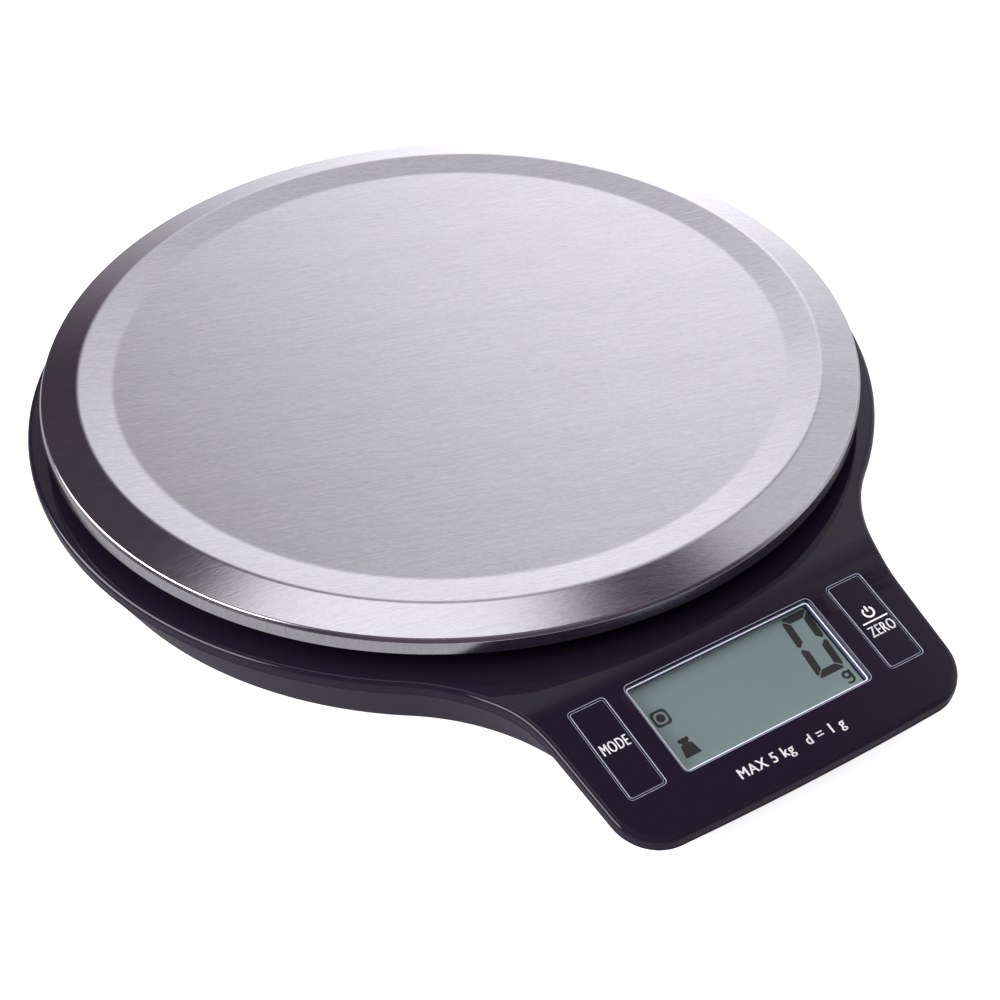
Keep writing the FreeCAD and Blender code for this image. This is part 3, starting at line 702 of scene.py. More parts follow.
def soft_rubber(name, base, roughness=0.62):
    """Rubber with a dusty, slightly mottled face."""
    finish = Finish(name, base, roughness, specular_ior_level=0.35)
    place = finish.place()
    grain = finish.noise(place, 1500.0, 3.0)
    cloud = finish.noise(place, 160.0, 2.0)
    finish.set(
        base_color=finish.blend(cloud, shade_of(base, 0.8), shade_of(base, 1.3)),
        roughness=roughness - 0.06 + grain * 0.12,
        normal=finish.bump(grain, 0.00003))
    return finish.material


def clear_window(name):
    """Thin clear sheet: seen straight through, with gloss that grows towards a glancing view."""
    finish = Finish(name, (0.0, 0.0, 0.0), 0.02, specular_ior_level=0.5)
    smear = finish.noise(finish.place(), 90.0, 2.0)
    finish.set(roughness=0.015 + smear * 0.02)
    clear = finish.put("ShaderNodeBsdfTransparent", 0, {}, {"Color": (0.975, 0.985, 0.985)})
    facing = finish.put("ShaderNodeLayerWeight", "Facing", {}, {"Blend": 0.5})
    gloss = Wire(finish, finish.shader.outputs[0])
    mixed = finish.put("ShaderNodeMixShader", 0, {}, {0: 0.03 + facing ** 5.0 * 0.7, 1: clear, 2: gloss})
    finish.tree.links.new(mixed.socket, finish.end.inputs[0])
    return finish.material


def window_edge(name, base, bright, slope, foot, head):
    """Side of the clear window: blue-grey, with a painted highlight on its cut edges at foot and head, in
    place of the light they catch.
    """
    finish = Finish(name, base, 0.25, specular_ior_level=0.5)
    out = (0.0, -math.sin(slope), math.cos(slope))
    height = finish.put("ShaderNodeVectorMath", "Value", {"operation": "DOT_PRODUCT"},
                        {0: finish.place(), 1: out})
    # Painted highlight: the cut edges at foot and head are turned pale, in place of light caught along the
    # clear sheet's edges.
    cut = height.soft(head - 0.00018, head - 0.00005) + (1.0 - height.soft(foot + 0.00010, foot + 0.00024))
    haze = finish.noise(finish.place(), 500.0, 3.0)
    side = finish.blend(haze, shade_of(base, 0.75), shade_of(base, 1.25))
    finish.set(base_color=finish.blend(cut, side, bright), roughness=0.2 + haze * 0.1)
    return finish.material


def display_glass(name, base):
    """Liquid crystal glass: grey-green, lighter and greener towards its border, very finely speckled, with
    a painted shadow that darkens it towards its top edge, where the pocket's wall shades it.
    """
    finish = Finish(name, base, 0.38, specular_ior_level=0.3)
    low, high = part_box("display_glass")
    half = (high - low) / 2
    across, along, _ = finish.place(0.0, (1 / half.x, 1 / half.y, 0.0), tuple((low + high) / 2)).parts()
    border = across ** 6.0 + along ** 6.0
    speckle = finish.noise(finish.place(), 4200.0, 2.0)
    greener = (base[0] * 1.2, base[1] * 1.26, base[2] * 1.12)
    plain = finish.blend(speckle, shade_of(base, 0.97), shade_of(base, 1.03))
    edged = finish.blend(border.soft(0.0, 1.0), plain, greener)
    # Painted shadow: the glass is darkened towards its top edge, in place of the shade the pocket's upper
    # wall casts on it.
    finish.set(base_color=finish.blend(along.soft(0.62, 0.86) * 0.5, edged, shade_of(base, 0.55)),
               roughness=0.34 + speckle * 0.08)
    return finish.material


def printed(name, base, roughness=0.45):
    """Screen-printed ink: even, with a slightly grainy face."""
    finish = Finish(name, base, roughness)
    grain = finish.noise(finish.place(), 3000.0, 2.0)
    finish.set(base_color=finish.blend(grain, shade_of(base, 0.94), shade_of(base, 1.05)),
               roughness=roughness - 0.05 + grain * 0.1)
    return finish.material


def circuit_laminate(name):
    """Green solder mask over faint tracks."""
    finish = Finish(name, (0.02, 0.13, 0.05), 0.35)
    tracks = finish.put("ShaderNodeTexBrick", "Fac", {"offset": 0.37, "squash": 1.4},
                        {"Vector": finish.place(), "Scale": 260.0, "Mortar Size": 0.09})
    cloud = finish.noise(finish.place(), 300.0, 2.0)
    green = finish.blend(tracks, (0.012, 0.10, 0.035), (0.03, 0.19, 0.07))
    finish.set(base_color=finish.blend(cloud * 0.4, green, (0.02, 0.09, 0.04)), roughness=0.3 + cloud * 0.1,
               normal=finish.bump(tracks, 0.00003))
    return finish.material


# ---- Operators ----

class KITCHENSCALE_OT_platform(bpy.types.Operator):
    """Pressed steel platform with its disc, crease, bevel and turned-down rim"""

    bl_idname = "kitchenscale.platform"
    bl_label = "Platform"

    def execute(self, context):
        scale = context.scene.kitchen_scale
        size = scale.platform
        disc_z, bevel_z = CREASE_Z - size.disc_drop, CREASE_Z - size.bevel_drop
        bevel = RIM_RADIUS - size.rim_roll / 2
        disc_bend, crease_bend, roll_bend, lip_bend = 12 * MM, 3.0 * MM, 0.6 * MM, 0.2 * MM
        outer = rounded(
            [(0, disc_z), (size.disc, disc_z), (size.crease, CREASE_Z), (bevel, bevel_z),
             (RIM_RADIUS, bevel_z - size.rim_roll), (RIM_RADIUS, RIM_BOTTOM_Z),
             (RIM_RADIUS - size.gauge, RIM_BOTTOM_Z)],
            [disc_bend, crease_bend, roll_bend, roll_bend, lip_bend], 8)
        inner = rounded(
            [(RIM_RADIUS - size.gauge, RIM_BOTTOM_Z), (RIM_RADIUS - size.gauge, bevel_z - size.rim_roll),
             (size.crease, CREASE_Z - size.gauge), (size.disc, disc_z - size.gauge),
             (0, disc_z - size.gauge)],
            [roll_bend, crease_bend, disc_bend], 4)
        solid = turned(np.concatenate([outer[:-1], inner]), 384)
        steel = brushed_steel("brushed_platform_steel", scale.finish.steel, -scale.finish.grain, bevel_z)
        add_piece("steel_platform", on_axis(solid), steel, "platform",
                  ["platform_pan"], weighted=True)
        return {"FINISHED"}


class KITCHENSCALE_OT_upper_housing(bpy.types.Operator):
    """Gloss upper housing: flat top, rounded turn, sloping panel, window pocket and button openings"""

    bl_idname = "kitchenscale.upper_housing"
    bl_label = "Upper housing"
    through = -6 * MM

    def execute(self, context):
        scale = context.scene.kitchen_scale
        body = scale.body
        outline = Outline(body)
        ledge, under, foot_edge = 2.9 * MM, 3.05 * MM, 0.2 * MM
        profile = rounded(
            [(ledge + 0.4 * MM, under), (ledge, under), (ledge, body.skirt), (0, body.skirt), (0, 0),
             (body.edge + 0.2 * MM, 0)],
            [0, 0, foot_edge, body.edge], 14)
        insets, drops = profile[..., 0], profile[..., 1]
        y = outline.moved_in(insets)[..., 1]
        loops = outline.skin(insets, top_height(y) - drops)
        cuts = [on_panel(cut) for cut in self.panel_cuts(scale.panel)]
        cuts.append(on_axis(self.hub_cut()))
        solid = on_axis(outline.closed(loops))
        steps = [("DIFFERENCE", cut) for cut in cuts]
        mesh = combined("upper_housing_gloss", solid, steps, SURFACE_TURN)
        panel = scale.panel
        # Rounded rectangles just outside the pocket and the button openings, along which a painted
        # highlight is laid on the moulded edge.
        window_past, window_corner, button_past, button_corner = 0.78 * MM, 1.35 * MM, 0.26 * MM, 1.0 * MM
        width, depth = panel.window_width + window_past, panel.window_length + window_past
        lines = [(0.0, width, depth, window_corner)]
        width, depth = panel.button_width + button_past, panel.button_length + button_past
        lines += [(side * panel.button_x, width, depth, button_corner) for side in (-1, 1)]
        gloss = gloss_plastic("gloss_black_plastic", scale.finish.gloss, lines=lines)
        add_piece("upper_housing_gloss", mesh, gloss, "base", ["upper_housing"],
                  weighted=True)
        return {"FINISHED"}

    @staticmethod
    def opening(width, depth, corner, edge, floor):
        """Cutter for an opening whose top edge is rounded."""
        plan, out = round_rectangle(width, depth, corner)
        bend = np.linspace(0, math.pi / 2, 7)
        arc = np.stack([edge * (1 - np.cos(bend)), edge * (np.sin(bend) - 1)], -1)
        profile = np.concatenate([[(0, floor)], arc, [(edge, 3 * MM)]])
        return stacked(plan, out, profile)

    def panel_cuts(self, panel):
        """Cutters for the window's pocket, the view through it and the two button openings."""
        floor = -(panel.recess + panel.lens)
        pocket = self.opening(panel.window_width, panel.window_length, 1.0 * MM, panel.window_edge, floor)
        plan, _ = round_rectangle(panel.view_width, panel.view_length, 0.6 * MM)
        view = flat_solid(plan, self.through, 0)
        cuts = [moved(pocket, 0, panel.middle_v), moved(view, 0, panel.middle_v)]
        for side in (-1, 1):
            key = self.opening(panel.button_width, panel.button_length, 0.9 * MM, 0.25 * MM, self.through)
            cuts.append(moved(key, side * panel.button_x, panel.middle_v))
        return cuts

    @staticmethod
    def hub_cut():
        """Cutter for the hole that the platform's hub comes through."""
        hub_width, hub_depth, corner = 24 * MM, 18 * MM, 2 * MM
        plan, _ = round_rectangle(hub_width, hub_depth, corner)
        return moved(flat_solid(plan, TOP_Z - 5 * MM, TOP_Z + 2 * MM), middle("load_cell_spacer").x, 0)


def screw_places():
    """Middles of the five housing screws, from the node's own box."""
    low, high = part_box("housing_screws")
    neck_x = 34 * MM
    return [(0, high.y - HOUSING_HEAD), (high.x - HOUSING_HEAD, AXIS_Y), (low.x + HOUSING_HEAD, AXIS_Y),
            (neck_x, low.y + HOUSING_HEAD), (-neck_x, low.y + HOUSING_HEAD)]


def post(x, y, radius, low, high):
    """Upright round solid."""
    return moved(flat_solid(circle(radius)[0], low, high), x, y)


def block(centre, width, depth, low, high, corner=0.4 * MM):
    """Upright solid over a rounded rectangle."""
    solid = flat_solid(round_rectangle(width, depth, corner, 3)[0], low, high)
    return moved(solid, centre[0], centre[1])


class KITCHENSCALE_OT_lower_housing(bpy.types.Operator):
    """Satin lower housing: upright lip, sloping wall, knee, sole, wells and battery compartment"""

    bl_idname = "kitchenscale.lower_housing"
    bl_label = "Lower housing"

    def execute(self, context):
        scale = context.scene.kitchen_scale
        body = scale.body
        outline = Outline(body)
        joint = body.skirt + body.lip
        rim_width = 2.26 * MM
        rim_inset = body.shell_inset + rim_width
        floor_z = BASE_Z + body.wall
        lip_top = body.skirt + 0.05 * MM

        def under_top(inset, drop):
            """Places on the profile that keep their distance from the top."""
            y = outline.moved_in(inset)[:, 1]
            return np.column_stack([np.full(len(y), inset), top_height(y) - drop])

        profile = rounded(
            [(body.sole_inset + 0.5 * MM, BASE_Z), (body.sole_inset, BASE_Z),
             (body.knee_inset, BASE_Z + body.knee), under_top(body.shell_inset, joint),
             under_top(body.lip_inset, joint - 0.02 * MM), under_top(body.lip_inset, lip_top),
             under_top(rim_inset, lip_top), under_top(rim_inset, joint),
             (body.knee_inset + 1.2 * MM, floor_z), (body.knee_inset + 1.6 * MM, floor_z)],
            [0.8 * MM, 2.2 * MM, 0, 0, 0, 0, 0, 0], 6)
        loops = outline.skin(profile[..., 0], profile[..., 1])
        solid = on_axis(outline.closed(loops))
        steps = [("UNION", part) for part in self.additions(body)]
        steps += [("DIFFERENCE", cut) for cut in self.cuts()]
        mesh = combined("lower_housing_satin", solid, steps)
        satin = satin_plastic("satin_black_plastic", scale.finish.satin, shine=0.02)
        add_piece("lower_housing_satin", mesh, satin, "base", ["lower_housing"],
                  weighted=True)
        return {"FINISHED"}

    @staticmethod
    def additions(body):
        """Posts over the housing screws, the load cell's seat and the walls of the battery box."""
        inside = BASE_Z + body.wall / 2
        post_radius, post_top = 4.2 * MM, BASE_Z + 5.9 * MM
        seat_width, seat_depth = 18 * MM, 14 * MM
        box_width, box_depth, box_top = 59.6 * MM, 35.6 * MM, 10.6 * MM
        parts = [post(x, y, post_radius, inside, post_top) for x, y in screw_places()]
        seat_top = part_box("load_cell")[0].z
        parts.append(block(middle("load_cell_screws"), seat_width, seat_depth, inside, seat_top))
        parts.append(block(middle("battery_door"), box_width, box_depth, inside, box_top))
        return parts

    @staticmethod
    def cuts():
        """Screw wells, foot seats, the battery door's seat, the cells' room and a finger notch."""
        well, cell_well, foot_seat, notch = 3.3 * MM, 3.9 * MM, 6.15 * MM, 7 * MM
        seat_width, seat_depth, seat_top = 56.4 * MM, 32.4 * MM, BASE_Z + 1.8 * MM
        room_width, room_depth, room_top = 50 * MM, 27 * MM, 9.2 * MM
        well_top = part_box("housing_screws")[0].z + HOUSING_HEAD_HEIGHT
        parts = [post(x, y, well, BELOW, well_top) for x, y in screw_places()]
        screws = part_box("load_cell_screws")
        for x in (screws[0].x + CELL_HEAD, screws[1].x - CELL_HEAD):
            parts.append(post(x, AXIS_Y, cell_well, BELOW, screws[0].z + CELL_HEAD_HEIGHT))
        for corner in FEET:
            foot = middle(f"foot_{corner}")
            parts.append(post(foot.x, foot.y, foot_seat, BELOW, BASE_Z + MM))
        door = (0, middle("battery_door").y)
        parts.append(block(door, seat_width, seat_depth, BELOW, seat_top))
        parts.append(block(door, room_width, room_depth, BASE_Z + MM, room_top, 2 * MM))
        edge_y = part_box("battery_door")[0].y - 0.2 * MM
        parts.append(post(0, edge_y, notch, BELOW, BASE_Z + 1.2 * MM))
        return parts


class KITCHENSCALE_OT_window(bpy.types.Operator):
    """Clear window that lies in the panel's pocket, with its cut side all round"""

    bl_idname = "kitchenscale.window"
    bl_label = "Window"

    def execute(self, context):
        scale = context.scene.kitchen_scale
        panel = scale.panel
        gap, side = 0.05 * MM, 0.34 * MM
        plan, out = round_rectangle(panel.window_width - 2 * gap, panel.window_length - 2 * gap, 0.95 * MM)
        low, high = -(panel.recess + panel.lens) + 0.01 * MM, -panel.recess
        sheet = stacked(plan, out, [(-side, low), (-side, high - 0.02 * MM)])
        add_piece("clear_window", on_panel(moved(sheet, 0, panel.middle_v)), clear_window("clear_window"),
                  "base", ["display_window"])
        foot = low - 0.35 * MM
        loops = [(0, foot), (0, high - 0.1 * MM), (-0.08 * MM, high), (-side, high - 0.06 * MM),
                 (-side, foot), (0, foot)]
        points, faces = stacked(plan, out, loops)
        points, _ = on_panel(moved((points, faces), 0, panel.middle_v))
        rise = math.cos(scale.body.slope) * TOP_Z
        rise -= math.sin(scale.body.slope) * (AXIS_Y + scale.body.turn_y)
        edge = window_edge("window_cut_edge", scale.finish.window_side, scale.finish.painted_cut_glint,
                           scale.body.slope, rise + foot, rise + high)
        add_piece("window_side", (points, faces[:-2]), edge, "base")
        return {"FINISHED"}


def ring_solid(outer, inner, low, high):
    """Thin solid between two outlines with the same number of points."""
    around = len(outer)
    loops = [np.column_stack([plan, np.full(around, z)])
             for plan, z in ((outer, low), (outer, high), (inner, high), (inner, low), (outer, low))]
    return np.concatenate(loops), band_quads(5, around)


def softened(outline, radius):
    """Closed outline with every corner rounded."""
    outline = np.asarray(outline, float)
    start = (outline[0] + outline[-1]) / 2
    return rounded([start, *outline, start], [radius] * len(outline), 4).reshape(-1, 2)[:-1]


def arc_band(radius, width, start, end):
    """Outline of a flat band that follows an arc between two bearings."""
    turn = np.linspace(start, end, 40)
    outer, inner = radius + width / 2, radius - width / 2
    return np.concatenate([bearing(turn) * outer, bearing(turn[::-1]) * inner])


def letters(text, width, height, low, high, bold):
    """Text as a thin solid with its box's middle at the origin, fitted to a width and a height.

    It is laid down three times, bold apart, which thickens its upright strokes.
    """
    curve = bpy.data.curves.new("letters", "FONT")
    curve.body = text
    curve.extrude = 0.5
    curve.resolution_u = 5
    curve.space_character = 1.12
    shape = linked("letters", curve)
    seen = shape.evaluated_get(bpy.context.evaluated_depsgraph_get())
    mesh = bpy.data.meshes.new_from_object(seen)
    points = np.zeros(len(mesh.vertices) * 3)
    mesh.vertices.foreach_get("co", points)
    points = points.reshape(-1, 3)
    faces = [list(face.vertices) for face in mesh.polygons]
    bpy.data.objects.remove(shape)
    bpy.data.curves.remove(curve)
    bpy.data.meshes.remove(mesh)
    start, end = points.min(0), points.max(0)
    wanted = np.array([width, height, high - low])
    points = (points - (start + end) / 2) / (end - start) * wanted
    points[:, 2] += (low + high) / 2
    return joined(*[moved((points, faces), step * bold, 0) for step in (-1, 0, 1)])


class KITCHENSCALE_OT_display(bpy.types.Operator):
    """Liquid crystal glass with its digit, unit and two symbols"""

    bl_idname = "kitchenscale.display"
    bl_label = "Display"

    def execute(self, context):
        scale = context.scene.kitchen_scale
        panel = scale.panel
        top = -2.1 * MM
        plan, out = round_rectangle(50 * MM, 23.6 * MM, 0.3 * MM, 3)
        bevel = 0.1 * MM
        solid = stacked(plan, out, [(0, top - 1.9 * MM), (0, top - bevel), (-bevel, top)])
        add_piece("display_glass_lit", on_panel(moved(solid, 0, panel.middle_v)),
                  display_glass("display_glass_grey", scale.finish.glass), "base",
                  ["display_glass"])
        low, high = top, top + panel.ink
        marks = [moved(self.digit(low, high), 18.65 * MM, -12.86 * MM),
                 moved(self.gram_mark(low, high), 20.3 * MM, -22.9 * MM),
                 moved(self.stable_mark(low, high), -19.6 * MM, -12.76 * MM),
                 moved(self.weight_mark(low, high), -18.6 * MM, -20.9 * MM)]
        ink = printed("display_ink", scale.finish.segment)
        add_piece("display_segments", on_panel(joined(*marks)), ink, "base")
        return {"FINISHED"}

    @staticmethod
    def digit(low, high):
        """Seven-segment zero: six bars with mitred and softened ends, leaning by a few degrees."""
        bar, gap = 1.75 * MM, 0.2 * MM
        x, y = 3.4 * MM, 7.85 * MM
        cap = [(x - 0.75 * MM, y), (x - 0.3 * MM, y - 0.3 * MM), (x - bar, y - bar), (bar - x, y - bar),
               (0.3 * MM - x, y - 0.3 * MM), (0.75 * MM - x, y)]
        upright = [(x - 0.12 * MM - gap, y - 0.55 * MM - gap), (x, y - 1.2 * MM), (x, 0.75 * MM),
                   (x - 0.5 * MM, gap), (x - bar, 1.25 * MM), (x - bar, y - bar - gap * 1.4)]
        parts = [np.array(cap) * (1, sign) for sign in (1, -1)]
        parts += [np.array(upright) * (across, along) for across in (1, -1) for along in (1, -1)]
        lean = math.tan(math.radians(4.6))
        soft = [softened(part, 0.18 * MM) for part in parts]
        return joined(*[flat_solid(part + part[:, 1:] * (lean, 0), low, high) for part in soft])

    @staticmethod
    def gram_mark(low, high):
        """Letter g: an oval ring, an upright on its right and a hook below."""
        ring = np.linspace(0, 2 * math.pi, 40, endpoint=False)
        oval, hollow = (1.08 * MM, 1.0 * MM), (0.48 * MM, 0.44 * MM)
        bowl = ring_solid(bearing(ring) * oval, bearing(ring) * hollow, low, high)
        stem, _ = round_rectangle(0.6 * MM, 2.2 * MM, 0.05 * MM, 2)
        hook = arc_band(1.02 * MM, 0.6 * MM, math.radians(-145), math.radians(0))
        return joined(moved(bowl, 0, 0.5 * MM), moved(flat_solid(stem, low, high), 0.93 * MM, 0.3 * MM),
                      moved(flat_solid(hook * (0.92, 0.75), low, high), 0, -0.75 * MM))

    @staticmethod
    def stable_mark(low, high):
        """Round-cornered square with a ring left clear round a dot."""
        outer, _ = round_rectangle(3.85 * MM, 3.85 * MM, 1.0 * MM, 11)
        inner = unit(outer) * 1.56 * MM
        dot, _ = circle(0.98 * MM, 36)
        return joined(ring_solid(outer, inner, low, high), flat_solid(dot, low, high))

    @staticmethod
    def weight_mark(low, high):
        """Plain weight: a knob on a block that widens downwards."""
        half = [(1.25, 2.2), (1.25, 1.45), (0.8, 1.2), (0.8, 0.8), (1.35, 0.7), (1.9, -2.15)]
        outline = np.array(half + [(-x, y) for x, y in half[::-1]]) * MM
        return flat_solid(softened(outline, 0.12 * MM), low, high)


class KITCHENSCALE_OT_buttons(bpy.types.Operator):
    """Two long gloss push buttons with softened edges"""

    bl_idname = "kitchenscale.buttons"
    bl_label = "Buttons"

    def execute(self, context):
        scale = context.scene.kitchen_scale
        panel = scale.panel
        # Rounded rectangles just inside each button's edge, along which a painted highlight is laid.
        inner = 2 * panel.button_gap + 0.3 * MM
        lines = [(side * panel.button_x, panel.button_width - inner, panel.button_length - inner, 0.65 * MM)
                 for side in (-1, 1)]
        gloss = gloss_plastic("gloss_button_plastic", scale.finish.gloss, lines=lines)
        plan, out = round_rectangle(panel.button_width - 2 * panel.button_gap,
                                    panel.button_length - 2 * panel.button_gap, 0.75 * MM)
        top, flange = -0.05 * MM, -2.12 * MM
        profile = rounded([(0.85 * MM, flange - 0.78 * MM), (0.85 * MM, flange), (0, flange), (0, top),
                           (-0.6 * MM, top)], [0, 0, 0.3 * MM], 6)
        for name, side in (("mode", -1), ("zero", 1)):
            solid = moved(stacked(plan, out, profile), side * panel.button_x, panel.middle_v)
            add_piece(f"{name}_button_gloss", on_panel(solid), gloss, f"{name}_button",
                      [f"{name}_button_cap"])
        return {"FINISHED"}


class KITCHENSCALE_OT_legends(bpy.types.Operator):
    """Printed words on the buttons, the power symbol and the capacity marking"""

    bl_idname = "kitchenscale.legends"
    bl_label = "Legends"

    def execute(self, context):
        scale = context.scene.kitchen_scale
        panel = scale.panel
        ink = printed("white_ink", scale.finish.legend)
        low = -0.05 * MM
        high = low + panel.ink
        x = panel.button_x
        mode = moved(letters("MODE", 6.3 * MM, 2.6 * MM, low, high, 0.05 * MM), -x + 0.1 * MM, -14.5 * MM)
        add_piece("mode_legend", on_panel(mode), ink, "mode_button")
        zero = moved(letters("ZERO", 6.2 * MM, 2.6 * MM, low, high, 0.05 * MM), x + 0.35 * MM, -17.5 * MM)
        bar, _ = round_rectangle(6.4 * MM, 0.34 * MM, 0.12 * MM, 3)
        line = moved(flat_solid(bar, low, high), x + 0.35 * MM, -15.2 * MM)
        power = moved(self.power_mark(low, high), x + 0.2 * MM, -13.0 * MM)
        add_piece("zero_legend", on_panel(joined(zero, line, power)), ink, "zero_button")
        capacity = letters("MAX 5 kg   d = 1 g", 26.0 * MM, 3.1 * MM, 0, panel.ink, 0.06 * MM)
        add_piece("capacity_marking", on_panel(moved(capacity, -1.5 * MM, -32.4 * MM)), ink, "base")
        return {"FINISHED"}

    @staticmethod
    def power_mark(low, high):
        """Open ring with an upright stroke in its gap."""
        ring = flat_solid(arc_band(1.2 * MM, 0.44 * MM, math.radians(128), math.radians(412)), low, high)
        stroke, _ = round_rectangle(0.44 * MM, 1.5 * MM, 0.2 * MM, 4)
        return joined(ring, moved(flat_solid(stroke, low, high), 0, 0.85 * MM))


class KITCHENSCALE_OT_feet(bpy.types.Operator):
    """Four rubber feet with a softened edge and a shallow ring underneath"""

    bl_idname = "kitchenscale.feet"
    bl_label = "Feet"

    def execute(self, context):
        scale = context.scene.kitchen_scale
        rubber = soft_rubber("foot_rubber_black", scale.finish.rubber)
        radius, height = 6.0 * MM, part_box("foot_rear_right")[1].z
        hollow, hollow_radius = 0.35 * MM, 3.2 * MM
        profile = rounded(
            [(0, hollow), (hollow_radius, hollow), (3.6 * MM, 0), (radius, 0), (radius, height),
             (0, height)],
            [0.2 * MM, 0.2 * MM, 0.9 * MM, 0], 6)
        for corner in FEET:
            centre = middle(f"foot_{corner}")
            add_piece(f"foot_pad_{corner}", moved(turned(profile, 64), centre.x, centre.y), rubber, "base",
                      [f"foot_{corner}"])
        return {"FINISHED"}


class KITCHENSCALE_OT_battery_door(bpy.types.Operator):
    """Battery door with a round hinge edge, pins, a latch tab and finger ribs"""

    bl_idname = "kitchenscale.battery_door"
    bl_label = "Battery door"

    def execute(self, context):
        scale = context.scene.kitchen_scale
        low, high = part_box("battery_door")
        thick = high.z - low.z
        round_edge = thick / 2 - 0.01 * MM
        corners = [(high.y - 2 * MM, low.z), (high.y, low.z), (high.y, high.z), (low.y, high.z),
                   (low.y, low.z), (high.y - 2 * MM, low.z)]
        profile = rounded(corners, [round_edge, round_edge, 0.3 * MM, 0.3 * MM], 8)[:-1]
        half = high.x - 1.0 * MM
        slab = along_x(profile, -half, half)
        pin = circle(0.5 * MM, 24)[0] + np.array([high.y - thick / 2, (low.z + high.z) / 2])
        pins = [along_x(pin, side * half, side * high.x) for side in (-1, 1)]
        slot = flat_solid(round_rectangle(0.8 * MM, 9 * MM, 0.3 * MM, 4)[0], 0, 2 * high.z)
        cuts = [("DIFFERENCE", moved(slot, side * 6 * MM, low.y + 3.6 * MM)) for side in (-1, 1)]
        rib_plan, rib_out = round_rectangle(8.4 * MM, 0.7 * MM, 0.3 * MM, 4)
        rib = stacked(rib_plan, rib_out, [(0, low.z + 0.5 * MM), (0, low.z - 0.1 * MM),
                                          (-0.15 * MM, low.z - 0.25 * MM)])
        ribs = [("UNION", moved(rib, 0, low.y + (1.6 + 1.5 * i) * MM)) for i in range(4)]
        mesh = combined("battery_door_satin", slab, cuts + ribs + [("UNION", pin) for pin in pins])
        satin = satin_plastic("satin_door_plastic", scale.finish.satin, shine=0.02)
        add_piece("battery_door_satin", mesh, satin, "door", ["battery_door"], weighted=True)
        return {"FINISHED"}


class KITCHENSCALE_OT_screws(bpy.types.Operator):
    """Housing screws and load cell screws with domed, cross-recessed heads"""

    bl_idname = "kitchenscale.screws"
    bl_label = "Screws"

    def execute(self, context):
        zinc = bright_metal("zinc_plate", (0.60, 0.61, 0.64))
        low_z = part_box("housing_screws")[0].z
        shank, whole, cross = 1.35 * MM, 12 * MM, 2.0 * MM
        places = screw_places()
        screw = self.screw(HOUSING_HEAD, HOUSING_HEAD_HEIGHT, shank, whole)
        heads = [moved(screw, x, y, low_z) for x, y in places]
        self.add("housing_screw_heads", heads, zinc, places, low_z, cross, ["housing_screws"])
        low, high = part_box("load_cell_screws")
        shank, whole, cross = 1.95 * MM, high.z - low.z, 2.6 * MM
        places = [(low.x + CELL_HEAD, AXIS_Y), (high.x - CELL_HEAD, AXIS_Y)]
        screw = self.screw(CELL_HEAD, CELL_HEAD_HEIGHT, shank, whole)
        heads = [moved(screw, x, y, low.z) for x, y in places]
        self.add("load_cell_screw_heads", heads, zinc, places, low.z, cross, ["load_cell_screws"])
        return {"FINISHED"}

    @staticmethod
    def screw(head, height, shank, total):
        """Domed head below, shank above."""
        profile = rounded([(0, 0), (head * 0.6, 0), (head, height * 0.45), (head, height), (shank, height),
                           (shank, total), (0, total)], [0.4 * MM, 0.4 * MM, 0, 0, 0], 6)
        return turned(profile, 48)

    def add(self, name, heads, finish, places, low, width, replaces):
        """Cuts a cross into each head and adds the screws as one piece."""
        arm, depth, corner = 0.55 * MM, 0.9 * MM, 0.1 * MM
        steps = []
        for place in places:
            for across, along in ((width, arm), (arm, width)):
                steps.append(("DIFFERENCE", block(place, across, along, low + BELOW, low + depth, corner)))
        mesh = combined(name, joined(*heads), steps)
        add_piece(name, mesh, finish, "base", replaces)


